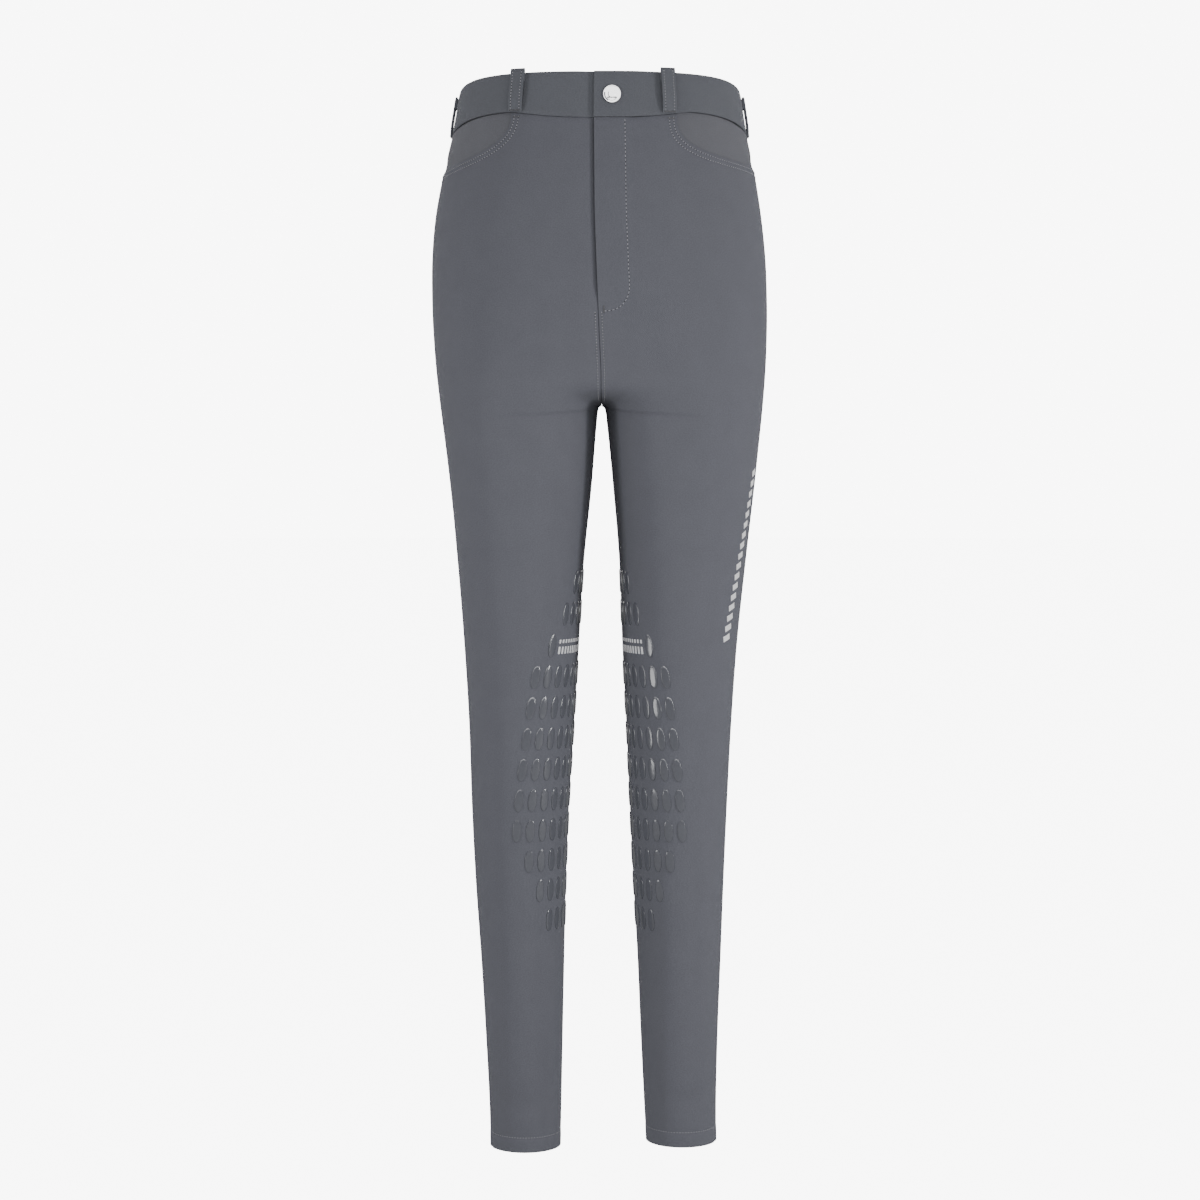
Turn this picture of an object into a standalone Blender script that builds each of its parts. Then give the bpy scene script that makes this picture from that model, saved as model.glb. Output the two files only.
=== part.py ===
"""Riding breeches in their worn form, filled out with nobody inside.

Metres, +Z up. The wearer faces -Y, and +X is the wearer's left. The origin is the middle of the
waistband ring. Every cloth piece is a wall over one shared skin, so that neighbours meet along a seam
with one even gap.
"""

import math
from functools import lru_cache

import bmesh
import bpy
import numpy as np
from mathutils import Vector

MM = 0.001

# Walls and seams
CLOTH = 1.5 * MM
BAND_CLOTH = 2.2 * MM
UNDERLAP_CLOTH = 1.2 * MM
SEAM_GAP = 0.3 * MM
LAP_GAP = 0.5 * MM
TOUCH = 0.3 * MM

# Heights
BAND_TOP = 20 * MM
WAIST_SEAM = -20 * MM
HIP_ROW = -100 * MM
LOW_HIP_ROW = -200 * MM
CROTCH = -270 * MM
HEM = {+1: -949 * MM, -1: -954 * MM}
HEM_FOLD = 14 * MM
HEM_EXTRA = 0.9 * MM

# The body of the garment, a row for each level. outer: half width. inner: half of the gap between the
# legs, or above the crotch how far the leg's outline reaches past the middle, as a negative. front, back:
# depth of the profile. valley: rounding of the hollow at the centre seam. shift: lean of the whole garment
# to the wearer's left. square, inner_square: exponents of the outline's outer and inner halves, 2 for an
# ellipse.
SECTION_COLUMNS = ("z", "outer", "inner", "front", "back", "valley", "shift", "square", "inner_square")
SECTIONS = (
    (24, 126.0, -126.0, -91.0, 93.0, 0.0, 0.0, 2.50, 2.50),
    (-20, 133.0, -133.0, -95.0, 98.0, 0.0, -0.3, 2.50, 2.50),
    (-63, 142.6, -142.6, -100.0, 108.0, 0.0, -0.9, 2.52, 2.52),
    (-100, 149.0, -149.0, -103.0, 118.0, 0.0, -1.4, 2.55, 2.55),
    (-137, 152.5, -152.5, -105.0, 126.0, 0.0, -1.0, 2.58, 2.58),
    (-173, 153.3, -145.0, -106.0, 130.0, 5.0, -0.4, 2.62, 2.62),
    (-210, 152.3, -112.0, -105.0, 127.0, 16.0, 0.3, 2.66, 2.70),
    (-240, 150.4, -74.0, -103.0, 118.0, 18.0, 0.9, 2.70, 2.82),
    (-258, 148.4, -38.0, -102.0, 110.0, 12.0, 1.2, 2.70, 2.98),
    (-270, 147.1, 0.0, -101.0, 104.0, 4.0, 1.5, 2.57, 3.12),
    (-274, 146.7, 3.2, -100.7, 102.5, 4.0, 1.6, 2.56, 3.12),
    (-284, 145.4, 4.4, -100.0, 99.0, 4.0, 1.7, 2.60, 3.06),
    (-339, 139.0, 9.4, -95.0, 85.0, 4.0, 2.2, 2.54, 2.74),
    (-413, 131.4, 16.2, -86.0, 74.0, 4.0, 1.5, 2.35, 2.42),
    (-486, 124.9, 19.7, -76.0, 64.0, 4.0, 0.6, 2.18, 2.20),
    (-560, 120.2, 23.8, -67.0, 55.0, 4.0, 0.2, 2.07, 2.07),
    (-633, 117.4, 27.7, -58.0, 53.0, 4.0, -0.5, 2.00, 2.00),
    (-707, 114.5, 31.0, -47.0, 60.0, 4.0, -0.3, 2.00, 2.00),
    (-781, 110.8, 33.9, -38.0, 59.0, 4.0, 0.9, 2.00, 2.00),
    (-854, 107.3, 36.2, -30.0, 50.0, 4.0, 1.7, 2.00, 2.00),
    (-928, 105.0, 38.8, -23.0, 46.0, 4.0, 2.8, 2.00, 2.00),
    (-958, 104.9, 40.0, -21.0, 45.0, 4.0, 3.3, 2.00, 2.00),
)

# Seam lines. FLY_LINE and INSEAM are arc lengths, in mm, from the middle and from the leg's inner line.
# OUTSEAM is the outline's angle in degrees: 90 at the front, 180 at the outer side.
FLY_LINE = ((24, -5.5), (-20, -5.3), (-175, -1.8), (-240, 0.0), (-270, 0.0))
INSEAM = (
    (-270, 0), (-284, -4), (-302, -13), (-340, -38), (-380, -61), (-415.5, -70), (-752, -70), (-800, -61),
    (-870, -43), (-960, -27),
)
OUTSEAM = ((-20, 180), (-300, 180), (-360, 174), (-430, 165), (-500, 160), (-960, 160))

# Scoop pocket: a quarter of a squared-off ellipse from the waist seam to the outseam
POCKET_START = 74 * MM
POCKET_DROP = 37.3 * MM
POCKET_SQUARE = 3.0
POCKET_LAP = 8 * MM

# Fly
FLY_RAISE = 1.2 * MM
FLY_FLAT = 20 * MM
FLY_FADE = 10 * MM
FLY_END = -165 * MM
FLY_END_FADE = 20 * MM
UNDERLAP_SPAN = (-16 * MM, 26 * MM)
UNDERLAP_END = -172 * MM

# Waistband
BAND_PROUD = 0.4 * MM
BAND_DIP = 1.35 * MM
BAND_DIP_RUN = 15 * MM
BAND_LAP = 30 * MM
BAND_EASE = (30 * MM, 50 * MM)
SIDE_DIP = 8 * MM
SIDE_DIP_REACH = 38 * MM

# Belt loops. The path is (lift of the strap's middle in mm, share of the way from the seam to the top).
LOOP_WIDTH = 12.5 * MM
LOOP_CLOTH = 1.4 * MM
LOOP_OFFSET = {+1: 66 * MM, -1: 68.5 * MM}
LOOP_OVER = {"front": 3 * MM, "side": 0.5 * MM, "back": 3 * MM}
LOOP_PATH = (
    (1.45, 0.02), (2.3, 0.12), (3.2, 0.28), (3.5, 0.50), (3.45, 0.75), (3.4, 0.93), (3.0, 1.00),
    (2.0, 1.00), (1.5, 0.93), (1.45, 0.74),
)

# Grip pads at the inner knee: cells of one pitch, counted to the front and back of the leg's inner line
GRIP_ACROSS = 12.2 * MM
GRIP_PITCH = 28 * MM
GRIP_TOP = -429.5 * MM
GRIP_FRONT = (4, 5, 6, 7, 7, 7, 7, 7, 7, 6, 5, 4)
GRIP_BACK_MOST = 5
GRIP_LABEL_ROW = 2
GRIP_LABEL_CELLS = 5
PAD_WIDE = 8 * MM
PAD_TALL = 21 * MM
PAD_HIGH = 0.9 * MM
GRIP_FADE = (0.10, 0.12)

# Snap
SNAP_AT = 10.6 * MM
CAP_RADIUS = 7.8 * MM
CAP_HIGH = 2.6 * MM
STUD_RADIUS = 5.5 * MM
STUD_HIGH = 1.2 * MM

# Mesh
RING_SAMPLES = 720
FRONT_CELLS = 18
POCKET_CELLS = 11
BACK_CELLS = 11
POCKET_ROWS = 4
CROTCH_ROWS_ABOVE = (48, 30, 16, 7, 2)
CROTCH_ROWS_BELOW = (4, 11, 23, 39, 57, 77, 99, 122)

CLOTH_GREY = (0.120, 0.125, 0.142)
UNDERLAY_GREY = (0.116, 0.118, 0.131)
SNAP_SILVER = (0.62, 0.62, 0.63)


# ---- The skin ----------------------------------------------------------------------------------------


def smoothstep(value):
    value = min(max(value, 0.0), 1.0)
    return value * value * (3 - 2 * value)


def curve(heights, values, z):
    """A smooth curve through values at falling heights, each point's slope taken from its neighbours."""
    slopes = np.gradient(values, heights)
    index = int(np.clip(np.searchsorted(-heights, -z) - 1, 0, len(heights) - 2))
    z0, z1 = heights[index], heights[index + 1]
    u = (z - z0) / (z1 - z0)
    run = z1 - z0
    start = (2 * u**3 - 3 * u**2 + 1) * values[index] + (u**3 - 2 * u**2 + u) * run * slopes[index]
    end = (3 * u**2 - 2 * u**3) * values[index + 1] + (u**3 - u**2) * run * slopes[index + 1]
    return start + end


def section_columns():
    """SECTIONS in metres, with inner and outer as the leg's own outline before the valley rounds it."""
    table = dict(zip(SECTION_COLUMNS, np.array(SECTIONS).T))
    for name in SECTION_COLUMNS[:-2]:
        table[name] = table[name] * MM
    open_gap = table["inner"] > 0
    table["inner"] = np.where(
        open_gap, np.hypot(table["inner"], table["valley"]), table["inner"] + table["valley"]
    )
    table["outer"] = np.hypot(table["outer"], table["valley"])
    return table


COLUMNS = section_columns()


@lru_cache(maxsize=None)
def section(z):
    """Centre, half sizes, valley, shift and exponents of the leg's outline at height z."""
    row = {name: curve(COLUMNS["z"], COLUMNS[name], z) for name in SECTION_COLUMNS[1:]}
    valley = max(row["valley"], 0.0)
    inner = max(row["inner"], -row["outer"])
    return {
        "cx": (row["outer"] + inner) / 2,
        "cy": (row["front"] + row["back"]) / 2,
        "a": (row["outer"] - inner) / 2,
        "b": (row["back"] - row["front"]) / 2,
        "valley": min(valley, (row["outer"] + inner) / 2 + 1e-9),
        "shift": row["shift"],
        "square": row["square"],
        "inner_square": row["inner_square"],
    }


def table_at(table, z):
    """Linear read of a (z in mm, value) table."""
    heights, values = np.array(table, dtype=float).T
    return float(np.interp(-z, -heights * MM, values))


class Ring:
    """The outline at one height, as arc lengths against x, y and the outline's angle.

    Above the crotch it is the +X half of the hips, from the centre front to the centre back. Below, it is
    the +X leg, with arc 0 at its inner line, and it overlaps itself so that a panel may start behind it.
    """

    def __init__(self, z):
        row = section(z)
        self.is_leg = z < CROTCH + 1e-6
        if self.is_leg:
            angles = np.linspace(-math.pi, 2 * math.pi, 2 * RING_SAMPLES)
        else:
            reach = (row["cx"] - row["valley"]) / row["a"]
            square = row["inner_square" if reach > 0 else "square"]
            first = math.acos(np.sign(reach) * min(abs(reach), 1.0) ** (square / 2))
            sweep = np.linspace(0, math.pi, RING_SAMPLES)
            angles = math.pi - (math.pi - first) * np.cos(sweep)
        power = 2 / np.where(np.cos(angles) > 0, row["inner_square"], row["square"])
        across = row["cx"] - row["a"] * np.sign(np.cos(angles)) * np.abs(np.cos(angles)) ** power
        self.x = np.sqrt(np.maximum(across**2 - row["valley"] ** 2, 0))
        self.y = row["cy"] - row["b"] * np.sign(np.sin(angles)) * np.abs(np.sin(angles)) ** power
        steps = np.hypot(np.diff(self.x), np.diff(self.y))
        self.arcs = np.concatenate(([0], np.cumsum(steps)))
        self.angles = angles
        if self.is_leg:
            self.arcs -= np.interp(0, angles, self.arcs)
        self.length = float(self.arcs[-1])

    def arc_at(self, degrees):
        return float(np.interp(math.radians(degrees), self.angles, self.arcs))

    def at(self, arc):
        """x and y at an arc. On the hips an arc past either centre line goes on round the other half."""
        if self.is_leg:
            return float(np.interp(arc, self.arcs, self.x)), float(np.interp(arc, self.arcs, self.y))
        arc = arc % (2 * self.length)
        mirrored = arc > self.length
        arc = 2 * self.length - arc if mirrored else arc
        x, y = float(np.interp(arc, self.arcs, self.x)), float(np.interp(arc, self.arcs, self.y))
        return (-x if mirrored else x), y


@lru_cache(maxsize=None)
def ring(z):
    return Ring(z)


def outside(x, y, z):
    """Above 0 outside the skin and below 0 inside it."""
    row = section(z)
    across = (math.hypot(x, row["valley"]) - row["cx"]) / row["a"]
    along = abs(y - row["cy"]) / row["b"]
    square = row["inner_square" if across < 0 else "square"]
    return abs(across) ** square + along**square - 1


def normal(x, y, z):
    step = 0.05 * MM
    return Vector((
        outside(x + step, y, z) - outside(x - step, y, z),
        outside(x, y + step, z) - outside(x, y - step, z),
        outside(x, y, round(z + step, 7)) - outside(x, y, round(z - step, 7)),
    )).normalized()


def skin(side, z, arc, lift=0.0):
    """The point of the skin at a height and arc, moved out by lift. side is +1 for the wearer's left."""
    z = round(float(z), 7)
    x, y = ring(z).at(arc)
    if abs(z - CROTCH) < 1e-6:
        x = max(x, SEAM_GAP / 2)
    point = Vector((x, y, z)) + lift * normal(x, y, z)
    return Vector((side * point.x + section(z)["shift"], point.y, point.z))


# ---- Seam lines --------------------------------------------------------------------------------------


def front_start(side, z):
    """Arc where a front begins: the fly line on the hips, the inseam on the leg."""
    if ring(z).is_leg:
        return table_at(INSEAM, z) * MM + SEAM_GAP / 2
    return side * table_at(FLY_LINE, z) * MM + SEAM_GAP / 2


def outseam(z):
    return ring(z).arc_at(table_at(OUTSEAM, z))


def back_end(z):
    """Arc where a back ends: the centre back on the hips, the inseam on the leg."""
    if ring(z).is_leg:
        return ring(z).length + table_at(INSEAM, z) * MM - SEAM_GAP / 2
    return ring(z).length - SEAM_GAP / 2


def rows_below_hips(side):
    """(height at the rise or inseam, height at the outseam) of each row from below HIP_ROW to the hem.

    The rows crowd together towards the crotch point on its side and stay even on the outer side.
    """
    hips = np.linspace(HIP_ROW, LOW_HIP_ROW, 5)[1:]
    above = [CROTCH + step * MM for step in CROTCH_ROWS_ABOVE]
    below = [CROTCH - step * MM for step in CROTCH_ROWS_BELOW]
    near = [*above, CROTCH, *below]
    grip_rows = len(GRIP_FRONT)
    grip_start = GRIP_TOP + GRIP_PITCH / 2
    grip = [grip_start - GRIP_PITCH * row for row in range(grip_rows + 1)]
    outer = np.linspace(LOW_HIP_ROW, grip_start, len(near) + 2)[1:-1]
    fold = HEM[side] + HEM_FOLD
    shin = np.linspace(grip[-1], fold + 2 * MM, 7)[1:]
    level = [*grip, *shin, fold, HEM[side]]
    rows = [(z, z) for z in hips] + list(zip(near, outer)) + [(z, z) for z in level]
    return [(round(float(first), 7), round(float(last), 7)) for first, last in rows]


def row_from_outseam(first, last, distances, way):
    """A row as (z, arc), at given distances from the outseam, farthest first.

    way is -1 for a front and +1 for a back. first and last are the row's heights at its two ends.
    """
    row = []
    for distance in map(float, distances):
        along = 1 - distance / float(distances[0])
        z = round(first + (last - first) * (1 - (1 - along) ** 2), 7)
        row.append((z, outseam(z) + way * distance))
    row[-1] = (last, outseam(last) + way * SEAM_GAP / 2)
    return row


def settled(distances, first, whole):
    """Distances whose outer part keeps the pace of a panel as wide as whole, where the rise cuts in."""
    near = 1 - smoothstep((first - CROTCH) / (LOW_HIP_ROW - CROTCH))
    if first < CROTCH - 1e-6 or near == 0:
        return distances
    width = distances[0]
    pace = width + (whole - width) * near
    shares = distances / width
    return pace * shares - (pace - width) * shares**3


def wall_at(side, z):
    """Thickness of a panel's wall: the hem is folded."""
    return CLOTH + (HEM_EXTRA if z < HEM[side] + HEM_FOLD + 1e-6 else 0.0)


# ---- Solids ------------------------------------------------------------------------------------------


def material(name, colour, roughness=0.85, metallic=0.0):
    made = bpy.data.materials.new(name)
    made.use_nodes = True
    shader = made.node_tree.nodes["Principled BSDF"]
    shader.inputs["Base Color"].default_value = (*colour, 1)
    shader.inputs["Roughness"].default_value = roughness
    shader.inputs["Metallic"].default_value = metallic
    made.diffuse_color = (*colour, 1)
    return made


def add_object(name, mesh, collection, surface):
    mesh.materials.append(surface)
    made = bpy.data.objects.new(name, mesh)
    collection.objects.link(made)
    return made


def mesh_from(name, build):
    build.normal_update()
    bmesh.ops.recalc_face_normals(build, faces=build.faces)
    mesh = bpy.data.meshes.new(name)
    build.to_mesh(mesh)
    build.free()
    mesh.shade_smooth()
    mesh.set_sharp_from_angle(angle=math.radians(40))
    return mesh


def pad_faces(build, corners, pad):
    """A wall's cell with a pad raised in it: pad is top, left, bottom, right and middle."""
    top_left, top_right, low_right, low_left = corners
    top, left, low, right, middle = (build.verts.new(point) for point in pad)
    ring_of_pad = (
        (top_left, top, top_right), (top_right, top, right), (top_right, right, low_right),
        (low_right, right, low), (low_right, low, low_left), (low_left, low, left),
        (low_left, left, top_left), (top_left, left, top),
    )
    pad_sides = ((top, left, middle), (left, low, middle), (low, right, middle), (right, top, middle))
    for face in (*ring_of_pad, *pad_sides):
        build.faces.new(face)


def wall_mesh(name, outer, inner, pads=None):
    """A closed wall between two grids of points. pads gives the raised points of some outer cells."""
    pads = pads or {}
    build = bmesh.new()
    sheets = [[[build.verts.new(point) for point in row] for row in grid] for grid in (outer, inner)]
    rows, columns = len(outer), len(outer[0])
    for number, sheet in enumerate(sheets):
        for i in range(rows - 1):
            for j in range(columns - 1):
                corners = (sheet[i][j], sheet[i][j + 1], sheet[i + 1][j + 1], sheet[i + 1][j])
                if number == 0 and (i, j) in pads:
                    pad_faces(build, corners, pads[(i, j)])
                else:
                    build.faces.new(corners)
    edge = [(0, j) for j in range(columns)]
    edge += [(i, columns - 1) for i in range(1, rows)]
    edge += [(rows - 1, j) for j in range(columns - 2, -1, -1)]
    edge += [(i, 0) for i in range(rows - 2, 0, -1)]
    over, under = sheets
    for (i, j), (next_i, next_j) in zip(edge, edge[1:] + edge[:1]):
        build.faces.new((over[i][j], over[next_i][next_j], under[next_i][next_j], under[i][j]))
    return mesh_from(name, build)


def wall_grids(side, cells, lift=None, wall=None):
    """Outer and inner grids of points over rows of (z, arc)."""
    lift = lift or (lambda z, arc: 0.0)
    wall = wall or (lambda z: wall_at(side, z))
    outer = [[skin(side, z, arc, lift(z, arc)) for z, arc in row] for row in cells]
    inner = [[skin(side, z, arc, -wall(z)) for z, arc in row] for row in cells]
    return outer, inner


# ---- Fronts ------------------------------------------------------------------------------------------


def scoop(side, turn, lap=0.0):
    """The pocket edge from turn 0 at the waist seam to 1 at the outseam, as (z, arc).

    lap carries the edge on under the front.
    """
    seam = WAIST_SEAM - SEAM_GAP / 2
    start = POCKET_START + side * table_at(FLY_LINE, seam) * MM - lap
    angle = turn * math.pi / 2
    drop = (POCKET_DROP + lap) * math.sin(angle) ** (2 / POCKET_SQUARE)
    z = round(seam - drop, 7)
    side_arc = outseam(z) - SEAM_GAP / 2
    return z, side_arc - (side_arc - start) * math.cos(angle) ** (2 / POCKET_SQUARE)


def even_scoop(side, cells, lap=0.0):
    """Points along the pocket edge, evenly spaced."""
    fine = [scoop(side, turn, lap) for turn in np.linspace(0, 1, 400)]
    steps = np.hypot(*np.diff(np.array(fine), axis=0).T)
    along = np.concatenate(([0], np.cumsum(steps)))
    wanted = np.linspace(0, along[-1], cells + 1)
    turns = np.interp(wanted, along, np.linspace(0, 1, 400))
    return [scoop(side, turn, lap) for turn in turns]


def front_arcs(side, z):
    """Arcs of a front's columns at height z: even, or in the grip zone one for each pad cell."""
    start = front_start(side, z)
    end = outseam(z) - SEAM_GAP / 2
    even = np.linspace(start, end, FRONT_CELLS + 1)
    grip_high = GRIP_TOP + GRIP_PITCH / 2
    grip_low = grip_high - GRIP_PITCH * len(GRIP_FRONT)
    above, below = (z - grip_high) / GRIP_FADE[0], (grip_low - z) / GRIP_FADE[1]
    share = 1 - smoothstep(max(above, below))
    if share == 0 or not ring(z).is_leg:
        return even
    cells_back, cells_front = GRIP_BACK_MOST, max(GRIP_FRONT)
    back_pitch = min(GRIP_ACROSS, -start / (cells_back + 1))
    behind = [-back_pitch * cell for cell in range(cells_back, 0, -1)]
    before = [GRIP_ACROSS * cell for cell in range(cells_front + 1)]
    rest = np.linspace(before[-1], end, FRONT_CELLS - cells_back - cells_front)[1:]
    gripped = np.array([start, *behind, *before, *rest])
    return even * (1 - share) + gripped * share


def front_rows(side):
    """A front's grid as rows of (z, arc). The rows under the waist bend round the pocket."""
    seam = round(WAIST_SEAM - SEAM_GAP / 2, 7)
    pocket = even_scoop(side, POCKET_CELLS)
    band_part = np.linspace(front_start(side, seam), pocket[0][1], FRONT_CELLS - POCKET_CELLS + 1)
    top = [(seam, float(arc)) for arc in band_part[:-1]] + pocket

    def share(z, arc):
        start, end = front_start(side, z), outseam(z) - SEAM_GAP / 2
        return (arc - start) / (end - start)

    top_shares = [share(z, arc) for z, arc in top]
    rows = [top]
    for step in range(1, POCKET_ROWS + 1):
        down = step / POCKET_ROWS
        row = []
        for j, (z, _) in enumerate(top):
            height = round(z + (HIP_ROW - z) * down, 7)
            at = top_shares[j] + (j / FRONT_CELLS - top_shares[j]) * down
            start, end = front_start(side, height), outseam(height) - SEAM_GAP / 2
            row.append((height, start + (end - start) * at))
        rows.append(row)
    whole = outseam(CROTCH) - front_start(side, CROTCH)
    for first, last in rows_below_hips(side):
        distances = outseam(first) - front_arcs(side, first)
        rows.append(row_from_outseam(first, last, settled(distances, first, whole), -1))
    return rows


def grip_pads(side, rows):
    """Raised points of the grip cells, keyed by the front grid's row and column."""
    first_row = min(i for i, row in enumerate(rows) if row[0][0] < GRIP_TOP + GRIP_PITCH / 2 + 1e-6)
    pads = {}
    for number, count in enumerate(GRIP_FRONT):
        z = round(GRIP_TOP - GRIP_PITCH * number, 7)
        for cell in range(-min(count, GRIP_BACK_MOST), count):
            if number == GRIP_LABEL_ROW and cell < GRIP_LABEL_CELLS:
                continue
            arc = (cell + 0.5) * GRIP_ACROSS
            pads[(first_row + number, cell + GRIP_BACK_MOST + 1)] = (
                skin(side, z + PAD_TALL / 2, arc),
                skin(side, z, arc - PAD_WIDE / 2),
                skin(side, z - PAD_TALL / 2, arc),
                skin(side, z, arc + PAD_WIDE / 2),
                skin(side, z, arc, PAD_HIGH),
            )
    return pads


def fly_lift(z, arc):
    """The left front is proud over the fly, out to its stitched line."""
    return (
        FLY_RAISE
        * (1 - smoothstep((arc - FLY_FLAT) / FLY_FADE))
        * (1 - smoothstep((FLY_END - z) / FLY_END_FADE))
    )


def front_mesh(name, side):
    rows = front_rows(side)
    outer, inner = wall_grids(side, rows, lift=fly_lift if side > 0 else None)
    return wall_mesh(name, outer, inner, grip_pads(side, rows))


# ---- Backs, pockets and fly --------------------------------------------------------------------------


def back_mesh(name, side):
    seam = WAIST_SEAM - SEAM_GAP / 2
    heights = [round(float(z), 7) for z in np.linspace(seam, HIP_ROW, POCKET_ROWS + 1)]
    whole = back_end(CROTCH) - outseam(CROTCH)
    rows = []
    for first, last in [(z, z) for z in heights] + rows_below_hips(side):
        distances = np.linspace(back_end(first) - outseam(first), SEAM_GAP / 2, BACK_CELLS + 1)
        rows.append(row_from_outseam(first, last, settled(distances, first, whole), 1))
    return wall_mesh(name, *wall_grids(side, rows))


def underlay_mesh(name, side, across=10, down=4):
    """The hip piece inside the pocket, running on under the front's edge and rising to its two seams."""
    seam = round(WAIST_SEAM - SEAM_GAP / 2, 7)
    edge = even_scoop(side, across, POCKET_LAP)[1:]
    rows = []
    for step in range(down + 1):
        row = []
        for z, arc in edge:
            height = round(seam + (z - seam) * step / down, 7)
            row.append((height, arc * outseam(height) / outseam(z)))
        rows.append(row)
    start = scoop(side, 0)[1]

    def lift(z, arc):
        side_arc = outseam(z)
        outward = max(side_arc - arc, 0) / (side_arc - start)
        depth = max(seam - z, 0) / POCKET_DROP
        inside = 1 - (outward**POCKET_SQUARE + depth**POCKET_SQUARE) ** (1 / POCKET_SQUARE)
        return -(CLOTH + LAP_GAP) * (1 - smoothstep(inside / 0.4))

    outer = [[skin(side, z, arc, lift(z, arc)) for z, arc in row] for row in rows]
    inner = [[skin(side, z, arc, lift(z, arc) - CLOTH) for z, arc in row] for row in rows]
    return wall_mesh(name, outer, inner)


def fly_underlap_mesh(name):
    """The strip behind the fly's edge, just inside both fronts."""
    top = WAIST_SEAM - SEAM_GAP
    outer_lift = -(CLOTH + LAP_GAP)
    rows = []
    for z in np.linspace(top, UNDERLAP_END, 7):
        rows.append([(round(float(z), 7), float(arc)) for arc in np.linspace(*UNDERLAP_SPAN, 5)])
    outer = [[skin(1, z, arc, outer_lift) for z, arc in row] for row in rows]
    inner = [[skin(1, z, arc, outer_lift - UNDERLAP_CLOTH) for z, arc in row] for row in rows]
    return wall_mesh(name, outer, inner)


# ---- Waistband and what is on it ---------------------------------------------------------------------


def band_top(x_y):
    """Height of the band's top edge: it dips over the side seams."""
    return BAND_TOP - SIDE_DIP * math.exp(-((x_y[1] / SIDE_DIP_REACH) ** 2))


def band_lift(arc, full):
    """The outer face of the band: raised where it laps over, sunk where it passes under."""
    over = FLY_RAISE * (1 - smoothstep((arc - BAND_EASE[0]) / (BAND_EASE[1] - BAND_EASE[0])))
    edge = full + table_at(FLY_LINE, 0) * MM - 2 * MM
    under = BAND_DIP * smoothstep((arc - edge + BAND_DIP_RUN) / BAND_DIP_RUN)
    return BAND_PROUD + over - under


def band_mesh(name, around=56):
    """One strip round the waist from the lapped edge, left side first, on to its own underlap."""
    full = 2 * ring(0.0).length
    start = table_at(FLY_LINE, 0) * MM
    arcs = np.concatenate((
        np.linspace(start, BAND_EASE[1], 6),
        np.linspace(BAND_EASE[1], full - 2 * BAND_DIP_RUN, around)[1:],
        np.linspace(full - 2 * BAND_DIP_RUN, full + BAND_LAP, 9)[1:],
    ))
    bottom = WAIST_SEAM + SEAM_GAP / 2
    outer, inner = [], []
    for share in (1.0, 0.5, 0.0):
        outer_row, inner_row = [], []
        for arc in arcs:
            top = band_top(ring(0.0).at(arc))
            z = round(bottom + (top - bottom) * share, 7)
            here = float(arc) * ring(z).length / ring(0.0).length
            lift = band_lift(float(arc), full)
            outer_row.append(skin(1, z, here, lift))
            inner_row.append(skin(1, z, here, lift - BAND_CLOTH))
        outer.append(outer_row)
        inner.append(inner_row)
    return wall_mesh(name, outer, inner)


def belt_loop(name, arc, over, collection, surface):
    """A strap sewn to the band at its seam and at its top, standing off between them."""
    here = ring(0.0).at(arc)
    top = band_top(here) + over - LOOP_CLOTH / 2
    bottom = WAIST_SEAM + SEAM_GAP / 2
    ahead, behind = Vector((*ring(0.0).at(arc + MM), 0)), Vector((*ring(0.0).at(arc - MM), 0))
    half = (ahead - behind).normalized() * LOOP_WIDTH / 2
    build = bmesh.new()
    rows = []
    for lift, share in LOOP_PATH:
        z = round(bottom + (top - bottom) * share, 7)
        middle = skin(1, z, arc * ring(z).length / ring(0.0).length, BAND_PROUD + lift * MM)
        rows.append([build.verts.new(middle - half), build.verts.new(middle + half)])
    for upper, lower in zip(rows, rows[1:]):
        build.faces.new((upper[0], upper[1], lower[1], lower[0]))
    mesh = bpy.data.meshes.new(name)
    build.to_mesh(mesh)
    build.free()
    loop = add_object(name, mesh, collection, surface)
    thickness = loop.modifiers.new("Cloth", "SOLIDIFY")
    thickness.thickness = LOOP_CLOTH
    thickness.offset = 0
    thickness.use_even_offset = True
    return loop


def turned(name, profile, lift, collection, surface, inward=False, steps=24):
    """A turned piece of the snap, standing on the band with its axis along the band's normal."""
    foot = skin(1, 0.0, SNAP_AT, lift)
    out = normal(*ring(0.0).at(SNAP_AT), 0.0) * (-1 if inward else 1)
    mesh = bpy.data.meshes.new(name)
    build = bmesh.new()
    points = [build.verts.new((radius, 0, height)) for radius, height in profile]
    for first, second in zip(points, points[1:]):
        build.edges.new((first, second))
    build.to_mesh(mesh)
    build.free()
    made = add_object(name, mesh, collection, surface)
    made.location = foot
    made.rotation_euler = out.to_track_quat("Z", "Y").to_euler()
    screw = made.modifiers.new("Turn", "SCREW")
    screw.steps = steps
    screw.render_steps = steps
    screw.use_merge_vertices = True
    screw.merge_threshold = 0.00001
    screw.use_smooth_shade = True
    return made


def snap_cap(collection, surface):
    over = BAND_PROUD + FLY_RAISE + TOUCH
    rim = 0.9 * MM
    dome = [(CAP_RADIUS * 0.86 * math.sin(turn), rim + (CAP_HIGH - rim) * math.cos(turn))
            for turn in np.linspace(0, math.pi / 2, 6)]
    profile = [*dome, (CAP_RADIUS, rim * 0.9), (CAP_RADIUS, rim * 0.3), (CAP_RADIUS - rim * 0.3, 0), (0, 0)]
    return turned("snap_cap", profile, over, collection, surface)


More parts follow.
